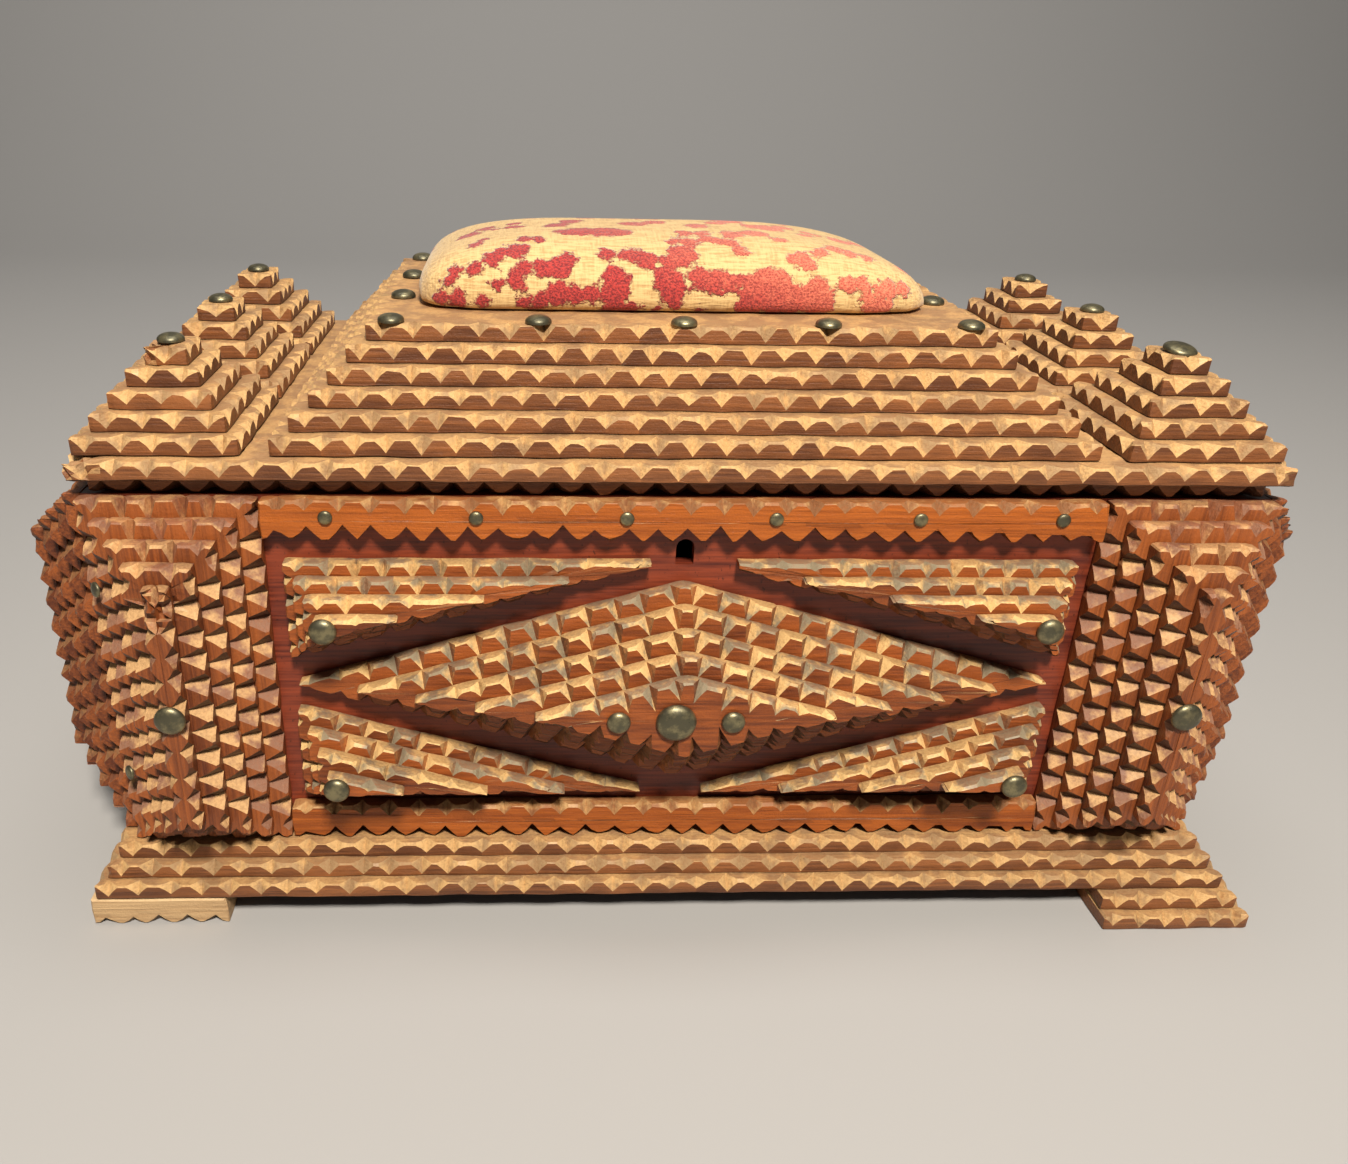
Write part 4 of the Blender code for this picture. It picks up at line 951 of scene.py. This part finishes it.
def plush_linen(name):
    """Linen of crossing threads, and lobed leaves of cut plush whose pile shows dark between tufts."""
    material, tree, shader = new_material(name)
    weft = grain(tree, (160.0, 1300.0, 1300.0), 2.0)
    warp = grain(tree, (1500.0, 160.0, 160.0), 2.0)
    weave = compute(tree, "MULTIPLY_ADD", warp, 0.5, weft)
    linen = blend_colours(tree, window(tree, weave, 0.58, 0.84), LINEN_SHADE, LINEN_LIGHT)
    place = add_node(tree, "TexCoord").outputs["Object"]
    edge = add_node(tree, "Attribute", attribute_name="leaf").outputs["Fac"]
    lobes = grain(tree, (330.0,) * 3, 2.0)
    tufts = grain(tree, (1500.0,) * 3, 2.0)
    edge = compute(tree, "ADD", edge, compute(tree, "MULTIPLY_ADD", lobes, 0.0060, -0.0027))
    edge = compute(tree, "ADD", edge, compute(tree, "MULTIPLY_ADD", tufts, 0.0026, -0.0013))
    leaf = compute(tree, "SUBTRACT", 1.0, window(tree, edge, -0.0004, 0.0006))
    spot = add_node(tree, "SeparateXYZ", {0: place}).outputs
    lifted = compute(tree, "MULTIPLY_ADD", spot["Z"], 2.6, spot["X"])
    faded = window(tree, compute(tree, "MULTIPLY_ADD", lobes, 0.04, lifted), 0.520, 0.610)
    red = blend_colours(tree, window(tree, tufts, 0.36, 0.62), DEEP_CRIMSON, CRIMSON)
    pink = blend_colours(tree, window(tree, tufts, 0.36, 0.62), RUBBED_SALMON, SALMON)
    plush = blend_colours(tree, faded, red, pink)
    pile = compute(tree, "MULTIPLY", leaf, compute(tree, "MULTIPLY_ADD", tufts, 1.5, 0.8))
    height = compute(tree, "MULTIPLY_ADD", weave, 0.8, pile)
    set_inputs(tree, shader, {
        "Base Color": blend_colours(tree, leaf, linen, plush), "Roughness": 0.92, "Sheen Weight": 0.25,
        "Normal": relief(tree, height, 0.8, 0.0006)})
    return material


low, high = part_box("cushion")
cushion = stuffed_dome("pincushion", low, high)
stuff(cushion, low, high)
cushion.data.materials.clear()
leaf = cushion.data.attributes.new("leaf", "FLOAT", "POINT")
leaf.data.foreach_set("value", leaf_edge(shape_of(cushion)[1], low, high).astype(np.float32))
soften = cushion.modifiers.new("soften", "SUBSURF")
soften.levels = soften.render_levels = 1
cushion.data.shade_smooth()
fit(cushion, plush_linen("plush_linen"), "lid", "cushion_cloth", "cushion")

# The hinges: two plain brass butts on the back, one leaf on the case and one on the lid, each leaf held
# by three small screws with domed heads.

HINGE_BRIGHT = (0.50, 0.37, 0.16)
HINGE_DULL = (0.22, 0.17, 0.08)
SCREW_DIAMETER = 0.0030
SCREW_HEIGHT = 0.0005
SCREW_SPACING = 0.0130
LEAF_THICKNESS = 0.0010
SCREW_EDGE = {"case": 0.0058, "lid": 0.0036}

hinge_brass = brass_finish("hinge_brass", HINGE_BRIGHT, HINGE_DULL, 0.34)
for side in ("left", "right"):
    for part in ("case", "lid"):
        node = f"hinge_{side}_{part}"
        dress(node, hinge_brass)
        low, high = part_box(node)
        height = low.z + SCREW_EDGE[part] if part == "case" else high.z - SCREW_EDGE[part]
        slot_name = "hinge_brass" if part == "case" else "lid_hinge_brass"
        for number, step in enumerate((-1, 0, 1)):
            place = ((low.x + high.x) / 2 + step * SCREW_SPACING, low.y + LEAF_THICKNESS, height)
            name = f"{node}_screw_{number + 1}"
            screw = dome(name, place, (0, 1, 0), SCREW_DIAMETER / 2, SCREW_HEIGHT)
            fit(screw, hinge_brass, part, slot_name)

# The studio: a plain pale floor that curves up into the wall behind, a soft key light high in front, two
# weak fills, a light for the wall, and the camera where the photograph was taken from.

CAMERA_PLACE = (-0.0467, -0.3757, 0.2609)
CAMERA_YAW = math.radians(2.59)
CAMERA_PITCH = math.radians(25.66)
CAMERA_ROLL = math.radians(1.22)
CAMERA_LENS = 29.38
CAMERA_SHIFT = 0.0746
FLOOR_HALF_WIDTH = 4.0
FLOOR_FRONT = -3.0
COVE_START = 1.2
COVE_RADIUS = 1.0
WALL_TOP = 3.0
FLOOR_GREY = (0.40, 0.39, 0.375)
SKY_TINT = (0.80, 0.82, 0.85)
SKY_POWER = 0.05

bend = np.linspace(0, math.pi / 2, 16)
profile = np.stack([COVE_START + COVE_RADIUS * np.sin(bend), COVE_RADIUS * (1 - np.cos(bend))], axis=1)
profile = np.concatenate([[[FLOOR_FRONT, 0.0]], profile, [[COVE_START + COVE_RADIUS, WALL_TOP]]])
edges = [np.insert(profile, 0, x, axis=1) for x in (-FLOOR_HALF_WIDTH, FLOOR_HALF_WIDTH)]
count = len(profile)
step = np.arange(count - 1)
strips = np.stack([step, step + count, step + count + 1, step + 1], axis=1)
floor = new_piece("floor", np.concatenate(edges), strips.tolist())
floor.data.shade_smooth()
floor_paint, floor_tree, floor_shader = new_material("pale_floor")
set_inputs(floor_tree, floor_shader, {"Base Color": (*FLOOR_GREY, 1.0), "Roughness": 0.85})
floor.data.materials.append(floor_paint)


def soft_light(name, place, target, size, power, colour):
    """A square area light that looks at a point."""
    light = bpy.data.lights.new(name, "AREA")
    light.size = size
    light.energy = power
    light.color = colour
    item = bpy.data.objects.new(name, light)
    item.location = place
    item.rotation_euler = (Vector(target) - Vector(place)).to_track_quat("-Z", "Y").to_euler()
    bpy.context.scene.collection.objects.link(item)


soft_light("key", (0.06, -0.84, 1.12), (0, 0, 0.1), 0.18, 27.0, (1.0, 0.93, 0.84))
soft_light("left_fill", (-1.2, -1.0, 0.7), (0, 0, 0.1), 1.0, 0.4, (1.0, 0.96, 0.92))
soft_light("right_fill", (1.3, -0.9, 0.6), (0, 0, 0.1), 1.0, 0.3, (0.97, 0.98, 1.0))
soft_light("wall_light", (0.0, 0.3, 2.2), (0, 2.2, 0.9), 1.5, 30.0, (1.0, 0.98, 0.96))
world = bpy.data.worlds.new("studio")
bpy.context.scene.world = world
world.use_nodes = True
background = world.node_tree.nodes["Background"]
set_inputs(world.node_tree, background, {"Color": (*SKY_TINT, 1.0), "Strength": SKY_POWER})

forward = Vector((
    math.sin(CAMERA_YAW) * math.cos(CAMERA_PITCH),
    math.cos(CAMERA_YAW) * math.cos(CAMERA_PITCH),
    -math.sin(CAMERA_PITCH)))
level_right = Vector((math.cos(CAMERA_YAW), -math.sin(CAMERA_YAW), 0.0))
level_up = level_right.cross(forward)
right = math.cos(CAMERA_ROLL) * level_right + math.sin(CAMERA_ROLL) * level_up
upward = math.cos(CAMERA_ROLL) * level_up - math.sin(CAMERA_ROLL) * level_right
camera_data = bpy.data.cameras.new("camera")
camera_data.lens = CAMERA_LENS
camera_data.sensor_width = 36.0
camera_data.shift_x = CAMERA_SHIFT
camera_data.clip_start = 0.01
camera = bpy.data.objects.new("camera", camera_data)
turned = Matrix((right, upward, -forward)).transposed().to_4x4()
camera.matrix_world = Matrix.Translation(CAMERA_PLACE) @ turned
bpy.context.scene.collection.objects.link(camera)
bpy.context.scene.camera = camera
bpy.context.scene.view_settings.view_transform = "Standard"
